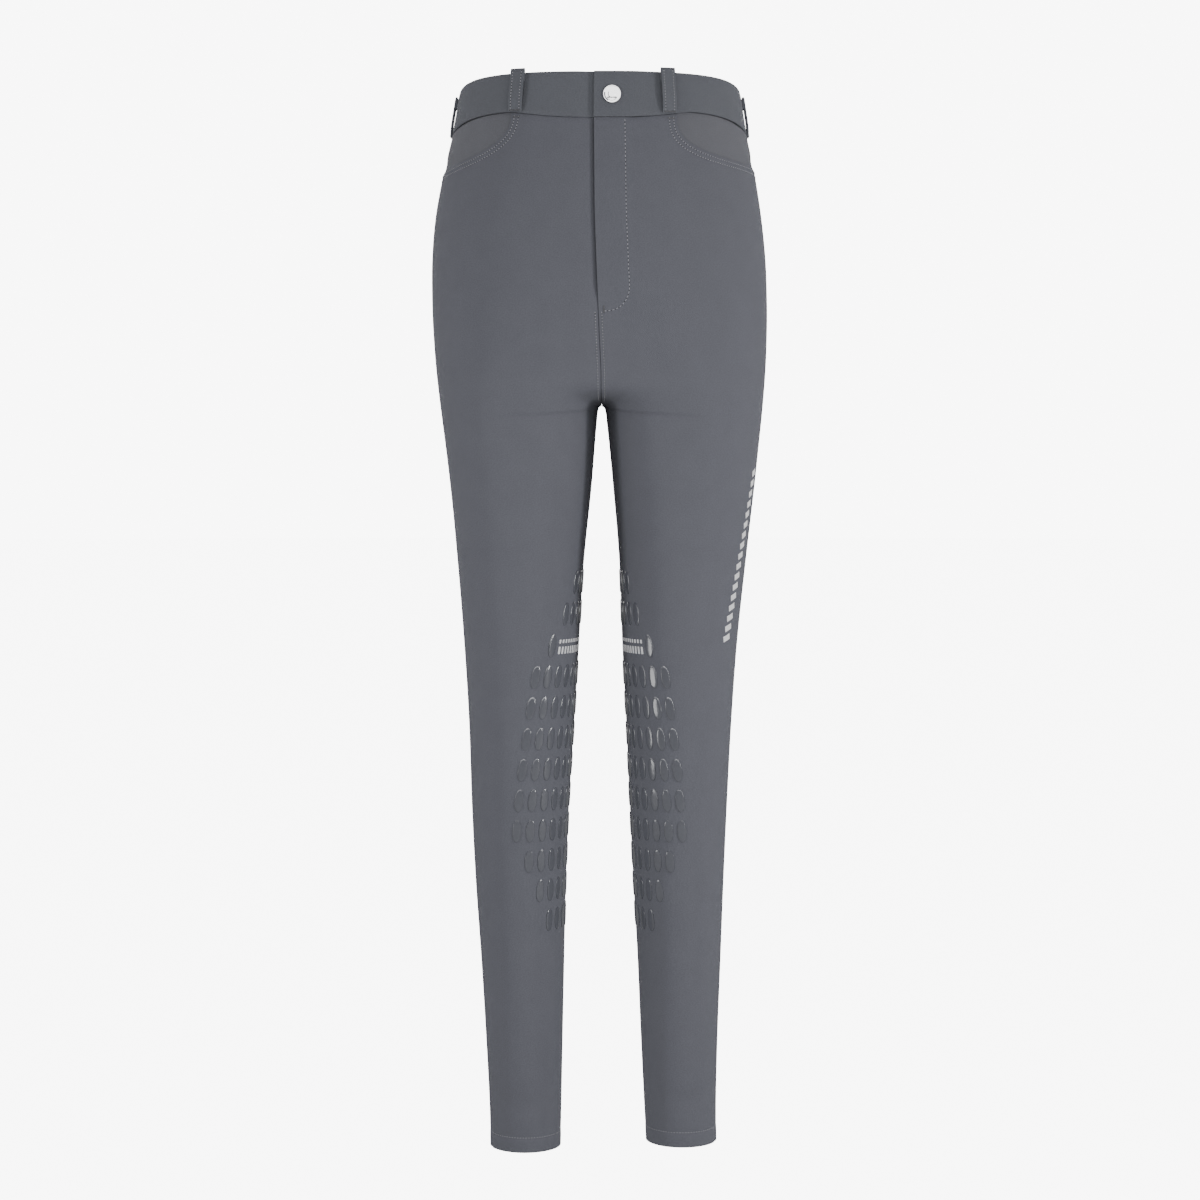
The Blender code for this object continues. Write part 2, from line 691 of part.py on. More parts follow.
def snap_stud(collection, surface):
    under = BAND_PROUD - BAND_DIP - BAND_CLOTH - TOUCH
    profile = [
        (0, STUD_HIGH), (STUD_RADIUS * 0.7, STUD_HIGH), (STUD_RADIUS, STUD_HIGH * 0.5), (STUD_RADIUS, 0),
        (0, 0),
    ]
    return turned("snap_stud", profile, under, collection, surface, inward=True)


# ---- The garment -------------------------------------------------------------------------------------


def clear_scene():
    for found in list(bpy.data.objects):
        bpy.data.objects.remove(found, do_unlink=True)


def main():
    clear_scene()
    collection = bpy.data.collections.new("riding_breeches")
    bpy.context.scene.collection.children.link(collection)
    cloth = material("cloth", CLOTH_GREY)
    underlay = material("underlay_cloth", UNDERLAY_GREY)
    metal = material("snap_metal", SNAP_SILVER, roughness=0.25, metallic=1.0)

    for word, side in (("left", 1), ("right", -1)):
        add_object(f"front_{word}", front_mesh(f"front_{word}", side), collection, cloth)
        add_object(f"back_{word}", back_mesh(f"back_{word}", side), collection, cloth)
        name = f"pocket_underlay_{word}"
        add_object(name, underlay_mesh(name, side), collection, underlay)

    add_object("fly_underlap", fly_underlap_mesh("fly_underlap"), collection, cloth)
    add_object("waistband", band_mesh("waistband"), collection, cloth)

    fly, half = table_at(FLY_LINE, 0) * MM, ring(0.0).length
    side_arc = outseam(0.0)
    loops = {
        "front_left": fly + LOOP_OFFSET[+1],
        "front_right": fly - LOOP_OFFSET[-1],
        "side_left": side_arc,
        "side_right": -side_arc,
        "back": half,
    }
    for word, arc in loops.items():
        belt_loop(f"belt_loop_{word}", arc, LOOP_OVER[word.split("_")[0]], collection, cloth)
    snap_cap(collection, metal)
    snap_stud(collection, metal)


main()
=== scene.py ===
"""Riding breeches in their worn form: the finish of every surface, on the worn form's own skin.

Metres, +Z up. The wearer faces -Y, and +X is the wearer's left.
"""

import math
from contextlib import contextmanager
from functools import lru_cache, partial
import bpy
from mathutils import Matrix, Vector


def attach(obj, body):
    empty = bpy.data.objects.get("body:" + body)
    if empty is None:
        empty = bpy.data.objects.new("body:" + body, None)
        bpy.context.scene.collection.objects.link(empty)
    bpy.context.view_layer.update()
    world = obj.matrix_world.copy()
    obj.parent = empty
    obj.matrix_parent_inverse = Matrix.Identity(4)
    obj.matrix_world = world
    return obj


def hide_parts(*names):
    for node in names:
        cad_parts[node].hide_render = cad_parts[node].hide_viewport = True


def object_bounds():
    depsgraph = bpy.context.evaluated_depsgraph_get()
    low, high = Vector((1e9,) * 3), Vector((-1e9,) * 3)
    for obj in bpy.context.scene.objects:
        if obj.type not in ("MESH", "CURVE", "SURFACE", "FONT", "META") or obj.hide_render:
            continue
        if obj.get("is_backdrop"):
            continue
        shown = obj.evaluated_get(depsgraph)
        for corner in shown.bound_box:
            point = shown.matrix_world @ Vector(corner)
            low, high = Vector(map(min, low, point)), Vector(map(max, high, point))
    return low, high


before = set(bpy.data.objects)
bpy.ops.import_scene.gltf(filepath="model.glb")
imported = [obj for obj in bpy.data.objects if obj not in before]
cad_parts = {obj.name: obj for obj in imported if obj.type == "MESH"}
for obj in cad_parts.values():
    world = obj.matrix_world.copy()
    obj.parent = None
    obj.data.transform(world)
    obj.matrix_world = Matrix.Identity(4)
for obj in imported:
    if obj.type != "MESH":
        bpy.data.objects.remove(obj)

from types import SimpleNamespace

import bpy
import numpy as np
from mathutils import Matrix, Vector
from mathutils.bvhtree import BVHTree

bl_info = {
    "name": "Riding breeches",
    "version": (1, 0, 0),
    "blender": (4, 5, 0),
    "location": "3D View > Sidebar > Breeches",
    "description": "Sews riding breeches piece by piece over their worn form and sets up the stage",
    "category": "Add Mesh",
}

CAD_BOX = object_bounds()
MM = 0.001
SIDES = (("left", +1), ("right", -1))

# Walls and seams
CLOTH = 1.5 * MM
BAND_CLOTH = 2.2 * MM
UNDERLAP_CLOTH = 1.2 * MM
SEAM_GAP = 0.3 * MM
LAP_GAP = 0.5 * MM
TOUCH = 0.3 * MM

# Heights
BAND_TOP = 21 * MM
WAIST_SEAM = -20 * MM
HIP_ROW = -100 * MM
LOW_HIP_ROW = -200 * MM
CROTCH = -270 * MM
GRIP_ROW = -415.5 * MM
HEM = {+1: -949 * MM, -1: -954 * MM}
HEM_FOLD = 14 * MM
HEM_EXTRA = 0.9 * MM
HEM_STEP = 2 * MM
HEM_PROUD = 0.25 * MM
HEM_GROOVE = 0.2 * MM

# The body of the garment, a row for each level, in mm: its height, half of its width, half of the gap
# between the legs (above the crotch how far the leg's outline reaches past the middle, as a negative), the
# profile's front and back, the rounding of the hollow at the centre seam, and the lean to the wearer's left.
# The last two are the exponents of the outline's outer and inner halves.
SECTIONS = (
    (24, 126.0, -126.0, -91.0, 93.0, 0.0, 0.0, 2.50, 2.50),
    (-20, 133.0, -133.0, -95.0, 98.0, 0.0, -0.3, 2.50, 2.50),
    (-63, 142.6, -142.6, -100.0, 108.0, 0.0, -0.9, 2.52, 2.52),
    (-100, 149.0, -149.0, -103.0, 118.0, 0.0, -1.4, 2.55, 2.55),
    (-137, 152.5, -152.5, -105.0, 126.0, 0.0, -1.0, 2.58, 2.58),
    (-173, 153.3, -145.0, -106.0, 130.0, 5.0, -0.4, 2.62, 2.62),
    (-210, 152.3, -112.0, -105.0, 127.0, 16.0, 0.3, 2.66, 2.70),
    (-240, 150.4, -74.0, -103.0, 118.0, 18.0, 0.9, 2.70, 2.82),
    (-258, 148.4, -38.0, -102.0, 110.0, 12.0, 1.2, 2.70, 2.98),
    (-270, 147.1, 0.0, -101.0, 104.0, 4.0, 1.5, 2.57, 3.12),
    (-274, 146.7, 3.2, -100.7, 102.5, 4.0, 1.6, 2.56, 3.12),
    (-284, 145.4, 4.4, -100.0, 99.0, 4.0, 1.7, 2.60, 3.06),
    (-339, 139.0, 9.4, -95.0, 85.0, 4.0, 2.2, 2.54, 2.74),
    (-413, 131.4, 16.2, -86.0, 74.0, 4.0, 1.5, 2.35, 2.42),
    (-486, 124.9, 19.7, -76.0, 64.0, 4.0, 0.6, 2.18, 2.20),
    (-560, 120.2, 23.8, -67.0, 55.0, 4.0, 0.2, 2.07, 2.07),
    (-633, 117.4, 27.7, -58.0, 53.0, 4.0, -0.5, 2.00, 2.00),
    (-707, 114.5, 31.0, -47.0, 60.0, 4.0, -0.3, 2.00, 2.00),
    (-781, 110.8, 33.9, -38.0, 59.0, 4.0, 0.9, 2.00, 2.00),
    (-854, 107.3, 36.2, -30.0, 50.0, 4.0, 1.7, 2.00, 2.00),
    (-928, 105.0, 38.8, -23.0, 46.0, 4.0, 2.8, 2.00, 2.00),
    (-958, 104.9, 40.0, -21.0, 45.0, 4.0, 3.3, 2.00, 2.00),
)

# Seam lines. FLY_LINE and INSEAM are arc lengths, in mm, from the middle and from the leg's inner line.
# OUTSEAM is the outline's angle in degrees: 90 at the front, 180 at the outer side.
FLY_LINE = ((24, -5.5), (-20, -5.3), (-175, -1.8), (-240, 0.0), (-270, 0.0))
INSEAM = (
    (-270, 0), (-284, -4), (-302, -13), (-340, -38), (-380, -61), (-415.5, -70), (-752, -70), (-800, -61),
    (-870, -43), (-960, -27),
)
OUTSEAM = ((-20, 180), (-300, 180), (-360, 174), (-430, 165), (-500, 160), (-960, 160))

# How far the waist seam runs above its level, mm, against the way from the centre front. It rises to the
# pocket's corner and dips over the side.
SEAM_WAVE = (
    (0, 0), (25, 0.2), (45, 1.4), (62, 3.4), (80, 5.9), (92, 6.0), (112, 4.6), (132, 2.0), (152, -1.4),
    (172, -4.6), (192, -6.2), (212, -5.2), (240, -2.0), (280, 0), (500, 0),
)

# Scoop pocket. The two differ a little, as worn.
POCKET_START = 74 * MM
POCKET_DROP = {+1: 35.8 * MM, -1: 39.5 * MM}
POCKET_SQUARE = {+1: 2.9, -1: 2.35}
POCKET_LAP = 8 * MM
UNDERLAY_RISE = 0.4

# Fly
FLY_RAISE = 1.2 * MM
FLY_FLAT = 20 * MM
FLY_FADE = 10 * MM
FLY_END = -165 * MM
FLY_END_FADE = 20 * MM
FLY_PRESS = 0.9 * MM
FLY_PRESS_REACH = 5 * MM
UNDERLAP_SPAN = (-16 * MM, 26 * MM)
UNDERLAP_END = -172 * MM

# Waistband
BAND_PROUD = 0.4 * MM
BAND_DIP = 1.35 * MM
BAND_DIP_RUN = 15 * MM
BAND_LAP = 30 * MM
BAND_ROLL = 0.45 * MM
BAND_ROLL_REACH = 2.5 * MM
BAND_WAVE = 0.25 * MM
BAND_WAVE_RUN = 46 * MM
BAND_EASE = (30 * MM, 50 * MM)
SIDE_DIP = 8 * MM
SIDE_DIP_REACH = 50 * MM

# Belt loops. The path is (lift of the strap's middle in mm, share of the way from the seam to the top).
LOOP_WIDTH = 12.5 * MM
LOOP_CLOTH = 1.8 * MM
LOOP_OFFSET = {+1: 66 * MM, -1: 68.5 * MM}
LOOP_OVER = {"front": 3 * MM, "side": -2.5 * MM, "back": 3 * MM}
LOOP_STAND = {"front": 1.0, "side": 0.55, "back": 1.0}
LOOP_PATH = (
    (0.95, 0.02), (2.0, 0.12), (3.2, 0.28), (3.5, 0.50), (3.45, 0.75), (3.4, 0.93), (3.0, 1.00),
    (2.0, 1.00), (1.4, 0.93), (1.2, 0.74),
)

# Grip pads at the inner knee: cells of one pitch, counted to the front and back of the leg's inner line
GRIP_ACROSS = 12.2 * MM
GRIP_PITCH = 28 * MM
GRIP_TOP = -429.5 * MM
GRIP_FRONT = (4, 5, 6, 7, 7, 7, 7, 7, 7, 6, 5, 4)
GRIP_BACK_MOST = 5
GRIP_LABEL_ROW = 2
GRIP_LABEL_CELLS = 5
PAD_WIDE = 8 * MM
PAD_TALL = 21 * MM

# Snap
SNAP_AT = 10.6 * MM
CAP_RADIUS = 8.2 * MM
STUD_RADIUS = 5.5 * MM

# Rows of the panels round the crotch, above and below it
CROTCH_ROWS_ABOVE = (48, 30, 16, 7, 2)
CROTCH_ROWS_BELOW = (4, 11, 23, 39, 57, 77, 99, 122)
ROW_STEP = 4.5 * MM
RING_SAMPLES = 480
EDGE_STEPS = np.array((0.0, 0.7, 1.6, 2.8)) * MM
FRONT_COLUMNS = 68
POCKET_COLUMNS = 44
BACK_COLUMNS = 64
TOP_DOWN = np.concatenate(((0, 0.010, 0.024, 0.045), np.linspace(0.07, 1, 20)))
SEAM_DIP = 0.55 * MM
SEAM_DIP_REACH = 1.5 * MM
EDGE_ROUND = 0.3 * MM
EASE_REACH = 45 * MM
EASE_START = 50 * MM


# ---- The skin


def smoothstep(value):
    value = np.clip(value, 0.0, 1.0)
    return value * value * (3 - 2 * value)


def unit(vectors):
    return vectors / np.linalg.norm(vectors, axis=-1, keepdims=True)


def run_along(points):
    """How far along a line each of its points lies."""
    return np.concatenate(([0], np.cumsum(np.linalg.norm(np.diff(points, axis=0), axis=-1))))


def section_table():
    """Heights and rows of SECTIONS in metres, outer and inner as they are before the valley rounds them."""
    table = np.array(SECTIONS).T
    z, outer, inner, front, back, valley, shift = table[:7] * MM
    inner = np.where(inner > 0, np.hypot(inner, valley), inner + valley)
    return z, np.stack((np.hypot(outer, valley), inner, front, back, valley, shift, *table[7:]), axis=1)


HEIGHTS, FORM = section_table()
SLOPES = np.gradient(FORM, HEIGHTS, axis=0)


def hermite(u, start, end, start_slope, end_slope):
    """A smooth curve from start to end as u goes from 0 to 1."""
    first = (2 * u**3 - 3 * u**2 + 1) * start + (u**3 - 2 * u**2 + u) * start_slope
    return first + ((3 * u**2 - 2 * u**3) * end + (u**3 - u**2) * end_slope)


def section(z):
    """Centre, half sizes, valley, shift and exponents of the leg's outline at each height."""
    z = np.asarray(z, dtype=float)
    index = np.clip(np.searchsorted(-HEIGHTS, -z) - 1, 0, len(HEIGHTS) - 2)
    run = (HEIGHTS[index + 1] - HEIGHTS[index])[..., None]
    u = (z - HEIGHTS[index])[..., None] / run
    row = hermite(u, FORM[index], FORM[index + 1], run * SLOPES[index], run * SLOPES[index + 1])
    outer, inner, front, back, valley, shift, square, inner_square = np.moveaxis(row, -1, 0)
    inner = np.maximum(inner, -outer)
    return SimpleNamespace(
        cx=(outer + inner) / 2, cy=(front + back) / 2, a=(outer - inner) / 2, b=(back - front) / 2,
        valley=np.minimum(np.maximum(valley, 0.0), (outer + inner) / 2 + 1e-9),
        shift=shift, square=square, inner_square=inner_square,
    )


def table_at(table, z):
    """Linear read of a (z in mm, value) table."""
    heights, values = np.array(table, dtype=float).T
    return np.interp(-np.asarray(z, dtype=float), -heights * MM, values)


class Ring:
    """The outline at one height, as arc lengths against x, y and the outline's angle.

    Above the crotch it is the +X half of the hips, from the centre front to the centre back. Below, it is
    the +X leg, with arc 0 at its inner line, and it overlaps itself so that a panel may start behind it.
    """

    def __init__(self, z):
        row = section(z)
        self.is_leg = z < CROTCH + 1e-6
        if self.is_leg:
            angles = np.linspace(-math.pi, 2 * math.pi, 3 * RING_SAMPLES)
        else:
            reach = float((row.cx - row.valley) / row.a)
            square = row.inner_square if reach > 0 else row.square
            first = math.acos(np.sign(reach) * min(abs(reach), 1.0) ** (square / 2))
            angles = math.pi - (math.pi - first) * np.cos(np.linspace(0, math.pi, 2 * RING_SAMPLES))
        power = 2 / np.where(np.cos(angles) > 0, row.inner_square, row.square)
        across = row.cx - row.a * np.sign(np.cos(angles)) * np.abs(np.cos(angles)) ** power
        self.x = np.sqrt(np.maximum(across**2 - row.valley**2, 0))
        self.y = row.cy - row.b * np.sign(np.sin(angles)) * np.abs(np.sin(angles)) ** power
        self.arcs = run_along(np.stack((self.x, self.y), axis=-1))
        self.angles = angles
        if self.is_leg:
            self.arcs -= np.interp(0, angles, self.arcs)
        self.length = float(self.arcs[-1])

    def arc_at(self, degrees):
        return np.interp(np.radians(degrees), self.angles, self.arcs)

    def at(self, arc):
        """x and y at each arc. On the hips an arc past either centre line goes on round the other half."""
        if self.is_leg:
            return np.interp(arc, self.arcs, self.x), np.interp(arc, self.arcs, self.y)
        arc = np.mod(arc, 2 * self.length)
        mirrored = arc > self.length
        arc = np.where(mirrored, 2 * self.length - arc, arc)
        x = np.interp(arc, self.arcs, self.x)
        return np.where(mirrored, -x, x), np.interp(arc, self.arcs, self.y)


@lru_cache(maxsize=None)
def ring(z):
    return Ring(z)


def by_level(read, heights, *values):
    """What read(ring, values) gives at each height, worked out once for each different height."""
    heights, *values = np.broadcast_arrays(np.asarray(heights, dtype=float), *values)
    flat = [value.ravel() for value in values]
    levels, index = np.unique(np.round(heights.ravel(), 6), return_inverse=True)
    groups = np.split(np.argsort(index, kind="stable"), np.cumsum(np.bincount(index))[:-1])
    got = [np.atleast_2d(read(ring(float(level)), *(value[group] for value in flat)))
           for level, group in zip(levels, groups)]
    found = np.empty((len(got[0]), heights.size))
    found[:, np.concatenate(groups)] = np.concatenate(got, axis=1)
    return found.reshape(-1, *heights.shape)


def outside(x, y, z):
    """Above 0 outside the skin and below 0 inside it."""
    row = section(z)
    across = (np.hypot(x, row.valley) - row.cx) / row.a
    along = np.abs(y - row.cy) / row.b
    square = np.where(across < 0, row.inner_square, row.square)
    return np.abs(across) ** square + along**square - 1


def normals(x, y, z):
    """The skin's outward direction at each of its points."""
    step = 0.05 * MM
    slope = np.stack((
        outside(x + step, y, z) - outside(x - step, y, z),
        outside(x, y + step, z) - outside(x, y - step, z),
        outside(x, y, z + step) - outside(x, y, z - step),
    ), axis=-1)
    return unit(slope)


def skin(side, z, arc, lift=0.0):
    """Points of the skin at heights and arcs, moved out by lift, and their outward directions."""
    z, arc, lift = np.broadcast_arrays(*(np.asarray(value, dtype=float) for value in (z, arc, lift)))
    x, y = by_level(lambda level, arcs: np.stack(level.at(arcs)), z, arc)
    x = np.where(np.abs(z - CROTCH) < 1e-6, np.maximum(x, SEAM_GAP / 2), x)
    out = normals(x, y, z)
    points = np.stack((x, y, z), axis=-1) + lift[..., None] * out
    points[..., 0] = side * points[..., 0] + section(z).shift
    out = out * np.array((side, 1, 1))
    return points, out


# ---- Seam lines


def front_start(side, z):
    """Arc where a front begins: the fly line on the hips, the inseam on the leg."""
    z = np.asarray(z, dtype=float)
    hips = side * table_at(FLY_LINE, z)
    return np.where(z < CROTCH + 1e-6, table_at(INSEAM, z), hips) * MM + SEAM_GAP / 2


def arc_at(degrees, z):
    """Arc of an angle of the outline at each height."""
    return by_level(lambda level, angle: level.arc_at(angle), z, degrees)[0]


def outseam(z):
    return arc_at(table_at(OUTSEAM, z), z)


def whole_arc(z):
    """Arc of the centre back on the hips, and the whole way round on the leg."""
    return arc_at(360, z)


def back_end(z):
    """Arc where a back ends: the centre back on the hips, the inseam on the leg."""
    z = np.asarray(z, dtype=float)
    leg = z < CROTCH + 1e-6
    return whole_arc(z) + np.where(leg, table_at(INSEAM, z) * MM, 0.0) - SEAM_GAP / 2


def refined(marks, most):
    """The marks with even steps between them, none longer than most in any column."""
    marks = np.asarray(marks, dtype=float)
    found = [marks[:1]]
    for before, after in zip(marks, marks[1:]):
        count = max(int(math.ceil(np.abs(after - before).max() / most)), 1)
        found.append(before + (after - before) * (np.arange(1, count + 1) / count)[:, None])
    return np.round(np.concatenate(found), 7)


def rows_below_hips(side):
    """(height at the rise or inseam, height at the outseam) of each row from HIP_ROW to the hem."""
    near = [CROTCH + step * MM for step in CROTCH_ROWS_ABOVE] + [CROTCH]
    near += [CROTCH - step * MM for step in CROTCH_ROWS_BELOW]
    outer = np.linspace(LOW_HIP_ROW, GRIP_ROW, len(near) + 2)[1:-1]
    fold = HEM[side] + HEM_FOLD
    level = (GRIP_ROW, fold + 1.2 * MM, fold, fold - 1.2 * MM, HEM[side] + 1.2 * MM, HEM[side])
    marks = [(HIP_ROW, HIP_ROW), (LOW_HIP_ROW, LOW_HIP_ROW), *zip(near, outer), *((z, z) for z in level)]
    return refined(marks, ROW_STEP)[1:]


def spread(width, count):
    """Places across a panel, close together at its two edges, where the cloth turns into its seams."""
    middle = np.linspace(EDGE_STEPS[-1], width - EDGE_STEPS[-1], count + 3 - 2 * len(EDGE_STEPS))
    return np.concatenate((EDGE_STEPS[:-1], middle, width - EDGE_STEPS[-2::-1]))


def settled(distances, first, whole):
    """Distances whose outer part keeps the pace of a panel as wide as whole, where the rise cuts in."""
    near = 1 - smoothstep((first - CROTCH) / (LOW_HIP_ROW - CROTCH))
    if first < CROTCH - 1e-6 or near == 0:
        return distances
    width = distances[0]
    pace = width + (whole - width) * near
    shares = distances / width
    return pace * shares - (pace - width) * shares**3


def slanted_rows(pairs, edge, way, columns):
    """Heights and arcs of rows that run from the rise or inseam to the outseam.

    edge(z) is the arc at the rise or inseam. way is -1 for a front and +1 for a back.
    """
    whole = abs(float(outseam(CROTCH) - edge(CROTCH)))
    heights, arcs = [], []
    for first, last in pairs:
        width = abs(float(outseam(first) - edge(first)))
        distances = settled(width - spread(width - SEAM_GAP / 2, columns), first, whole)
        along = 1 - (distances - distances[-1]) / (distances[0] - distances[-1])
        heights.append(first + (last - first) * (1 - (1 - along) ** 2))
        arcs.append(distances)
    heights = np.array(heights)
    return heights, outseam(heights) + way * np.array(arcs)


# ---- Creases

# Soft troughs where stretch cloth is pressed together, leg by leg, in mm and degrees: the height of the
# middle, its angle round the leg (90 at the front, 180 at the outer side, 270 at the back), the reach along
# and across, the depth, the tilt up towards the outer side, and how far the ends turn up. Beside each trough
# the cloth stands up in two low ridges.
RIDGE_SHARE = 0.45
RIDGE_AWAY = 1.75
RIDGE_WIDE = 0.8
CREASE_FADE = 14 * MM
CREASES = {
    +1: (
        (-545, 268, 34, 7, 2.9, -6, 5), (-561, 282, 27, 6, 2, 5, -3), (-528, 250, 22, 6.5, 1.7, 12, 3),
        (-580, 262, 25, 8, 1.5, -12, 2), (-512, 286, 19, 7.5, 1.2, -9, 0), (-902, 262, 20, 6, 1.7, 7, 2),
        (-917, 240, 16, 5, 1.4, -8, 0), (-886, 285, 15, 6, 1.2, 4, -2), (-296, 262, 46, 9, 2.5, -10, 9),
        (-318, 280, 30, 8, 1.5, -16, 5), (-340, 240, 26, 9, 1, 8, 3), (-905, 95, 15, 7, 0.5, 6, 1),
        (-303, 62, 24, 9, 0.6, 38, 3), (-318, 78, 20, 8, 0.4, 30, 2), (-520, 108, 26, 12, 0.5, 10, 3),
    ),
    -1: (
        (-551, 271, 36, 6.5, 2.7, 4, 4), (-536, 255, 24, 7, 1.9, -9, -3), (-569, 285, 26, 6.5, 2.2, 8, 3),
        (-588, 265, 21, 8.5, 1.4, -4, 0), (-517, 280, 20, 7, 1.4, 10, 2), (-896, 268, 21, 6, 1.9, -6, 2),
        (-913, 250, 17, 5.5, 1.4, 9, 0), (-925, 282, 14, 5, 1, 0, 1), (-299, 265, 44, 8.5, 2.4, -8, 8),
        (-316, 246, 28, 8, 1.5, 12, 4), (-345, 278, 27, 9.5, 1.2, -14, 3), (-910, 88, 16, 7, 0.5, -5, 1),
        (-306, 60, 22, 9, 0.6, 36, 3), (-325, 74, 19, 9, 0.4, 32, 2), (-528, 100, 28, 12, 0.5, -8, 3),
    ),
}


def creased(side, z, arc):
    """How far the cloth lies in or out at each point, for the creases of one leg."""
    lift = np.zeros(np.shape(z))
    for middle, angle, long, wide, deep, tilt, bow in CREASES[side]:
        near = (np.abs(z - middle * MM) < (long + wide) * MM * 3) & (z < CROTCH)
        if not near.any():
            continue
        turn = whole_arc(z[near])
        across = np.mod(arc[near] - arc_at(angle, z[near]) + turn / 2, turn) - turn / 2
        up, tilt = z[near] - middle * MM, math.radians(tilt)
        u = (across * math.cos(tilt) + up * math.sin(tilt)) / (long * MM)
        v = (up * math.cos(tilt) - across * math.sin(tilt) - bow * MM * u**2) / (wide * MM)
        ridges = RIDGE_SHARE * np.exp(-((np.abs(v) - RIDGE_AWAY) ** 2) / RIDGE_WIDE)
        lift[near] -= deep * MM * (np.exp(-(v**2)) - ridges) * np.exp(-((u**2) ** 1.5))
    return lift * smoothstep((CROTCH - z) / CREASE_FADE)


# ---- Laying cloth on the skin


def deselect():
    bpy.ops.object.select_all(action="DESELECT")


def pick(piece):
    """Selects one piece alone and makes it active."""
    deselect()
    piece.select_set(True)
    bpy.context.view_layer.objects.active = piece


def lay_sheet(name, points, across, heights, flipped=False):
    """A flat grid moved to its points, rows from the top down. The Cloth map keeps its cut in metres."""
    rows, columns = heights.shape
    deselect()
    bpy.ops.mesh.primitive_grid_add(x_subdivisions=columns - 1, y_subdivisions=rows - 1, size=1.0)
    piece = bpy.context.object
    piece.name = piece.data.name = f"{name}_cloth"
    mesh = piece.data
    order = (slice(None, None, -1), slice(None, None, -1) if flipped else slice(None))
    mesh.vertices.foreach_set("co", np.ascontiguousarray(points[order]).ravel())
    flat = np.stack((across[order], heights[order]), axis=-1).reshape(-1, 2)
    layer = mesh.uv_layers.active or mesh.uv_layers.new(name="Cloth")
    layer.name = "Cloth"
    corners = np.empty(len(mesh.loops), dtype=np.int32)
    mesh.loops.foreach_get("vertex_index", corners)
    layer.data.foreach_set("uv", flat[corners].astype(np.float32).ravel())
    mesh.update()
    return piece


def apply_modifier(piece, kind, **settings):
    pick(piece)
    made = piece.modifiers.new(kind.title(), kind)
    for name, value in settings.items():
        setattr(made, name, value)
    bpy.ops.object.modifier_apply(modifier=made.name)


def finish_piece(piece, finish, node=None, degrees=50):
    """Smooth faces and the material of a piece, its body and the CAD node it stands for."""
    pick(piece)
    bpy.ops.object.shade_smooth_by_angle(angle=math.radians(degrees))
    piece.data.materials.append(surface(finish))
    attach(piece, "root")
    if node:
        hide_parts(node)


def edge_dip(points, edges):
    """How the cloth turns down into the seams at the named edges of its grid."""
    firsts = {"top": points[:1], "bottom": points[-1:], "start": points[:, :1], "end": points[:, -1:]}
    dip = np.zeros(points.shape[:2])
    for edge in edges:
        away = np.linalg.norm(points - firsts[edge], axis=-1)
        dip = np.maximum(dip, np.exp(-((away / SEAM_DIP_REACH) ** 2)))
    return -SEAM_DIP * dip


def sheet_size(points):
    """Flat width, length and area of a laid grid."""
    across = np.linalg.norm(np.diff(points, axis=1), axis=-1)
    down = np.linalg.norm(np.diff(points, axis=0), axis=-1)
    cells = (across[1:] + across[:-1]) / 2 * (down[:, 1:] + down[:, :-1]) / 2
    return float(across.sum(axis=1).max()), float(down.sum(axis=0).max()), float(cells.sum())


def finish_sheet(piece, points, wall, finish, slot, node=None, **solid):
    """Gives a laid sheet its wall and rounds its cut edges."""
    solid = {"offset": -1.0, "use_even_offset": False, **solid}
    apply_modifier(piece, "SOLIDIFY", thickness=wall, **solid)
    apply_modifier(
        piece, "BEVEL", width=EDGE_ROUND, segments=2, limit_method="ANGLE", angle_limit=math.radians(50),
        use_clamp_overlap=True,
    )
    finish_piece(piece, finish, node)
    width, length, area = sheet_size(points)
    min(area, width * length)


def fly_lift(z, arc):
    """The left front is proud over the fly, out to its stitched line."""
    across = 1 - smoothstep((arc - FLY_FLAT) / FLY_FADE)
    return FLY_RAISE * across * (1 - smoothstep((FLY_END - z) / FLY_END_FADE))


def under_lift(z, arc):
    """The right front is pressed down where the left one laps over it."""
    press = np.exp(-(((arc - front_start(-1, z)) / FLY_PRESS_REACH) ** 2))
    return -FLY_PRESS * press * (1 - smoothstep((FLY_END - z) / FLY_END_FADE))


def hem_shape(side, z):
    """The turned-up hem stands a little proud under its row of stitches."""
    below = (HEM[side] + HEM_FOLD - z) / HEM_STEP
    return HEM_PROUD * smoothstep(below) - HEM_GROOVE * np.exp(-((below * 2) ** 2))


# ---- Panels


def seam_height(arc, level=WAIST_SEAM):
    """Height of the waist seam at arcs from the centre front, either way round, measured at a level."""
    half = ring(level).length
    away = (half - np.abs(np.mod(arc, 2 * half) - half)) * ring(WAIST_SEAM).length / half
    run, rise = rounded_path(SEAM_WAVE, 600).T * MM
    return WAIST_SEAM + np.interp(away, run, rise)


def scoop(side, turn, lap=0.0):
    """The pocket edge from turn 0 at the waist seam to 1 at the outseam, as heights and arcs."""
    start = POCKET_START + side * table_at(FLY_LINE, WAIST_SEAM) * MM - lap
    seam = float(seam_height(start)) - SEAM_GAP / 2
    bottom = WAIST_SEAM - POCKET_DROP[side] - lap
    angle = np.asarray(turn) * math.pi / 2
    z = seam - (seam - bottom) * np.sin(angle) ** (2 / POCKET_SQUARE[side])
    side_arc = outseam(z) - SEAM_GAP / 2
    return z, side_arc - (side_arc - start) * np.abs(np.cos(angle)) ** (2 / POCKET_SQUARE[side])


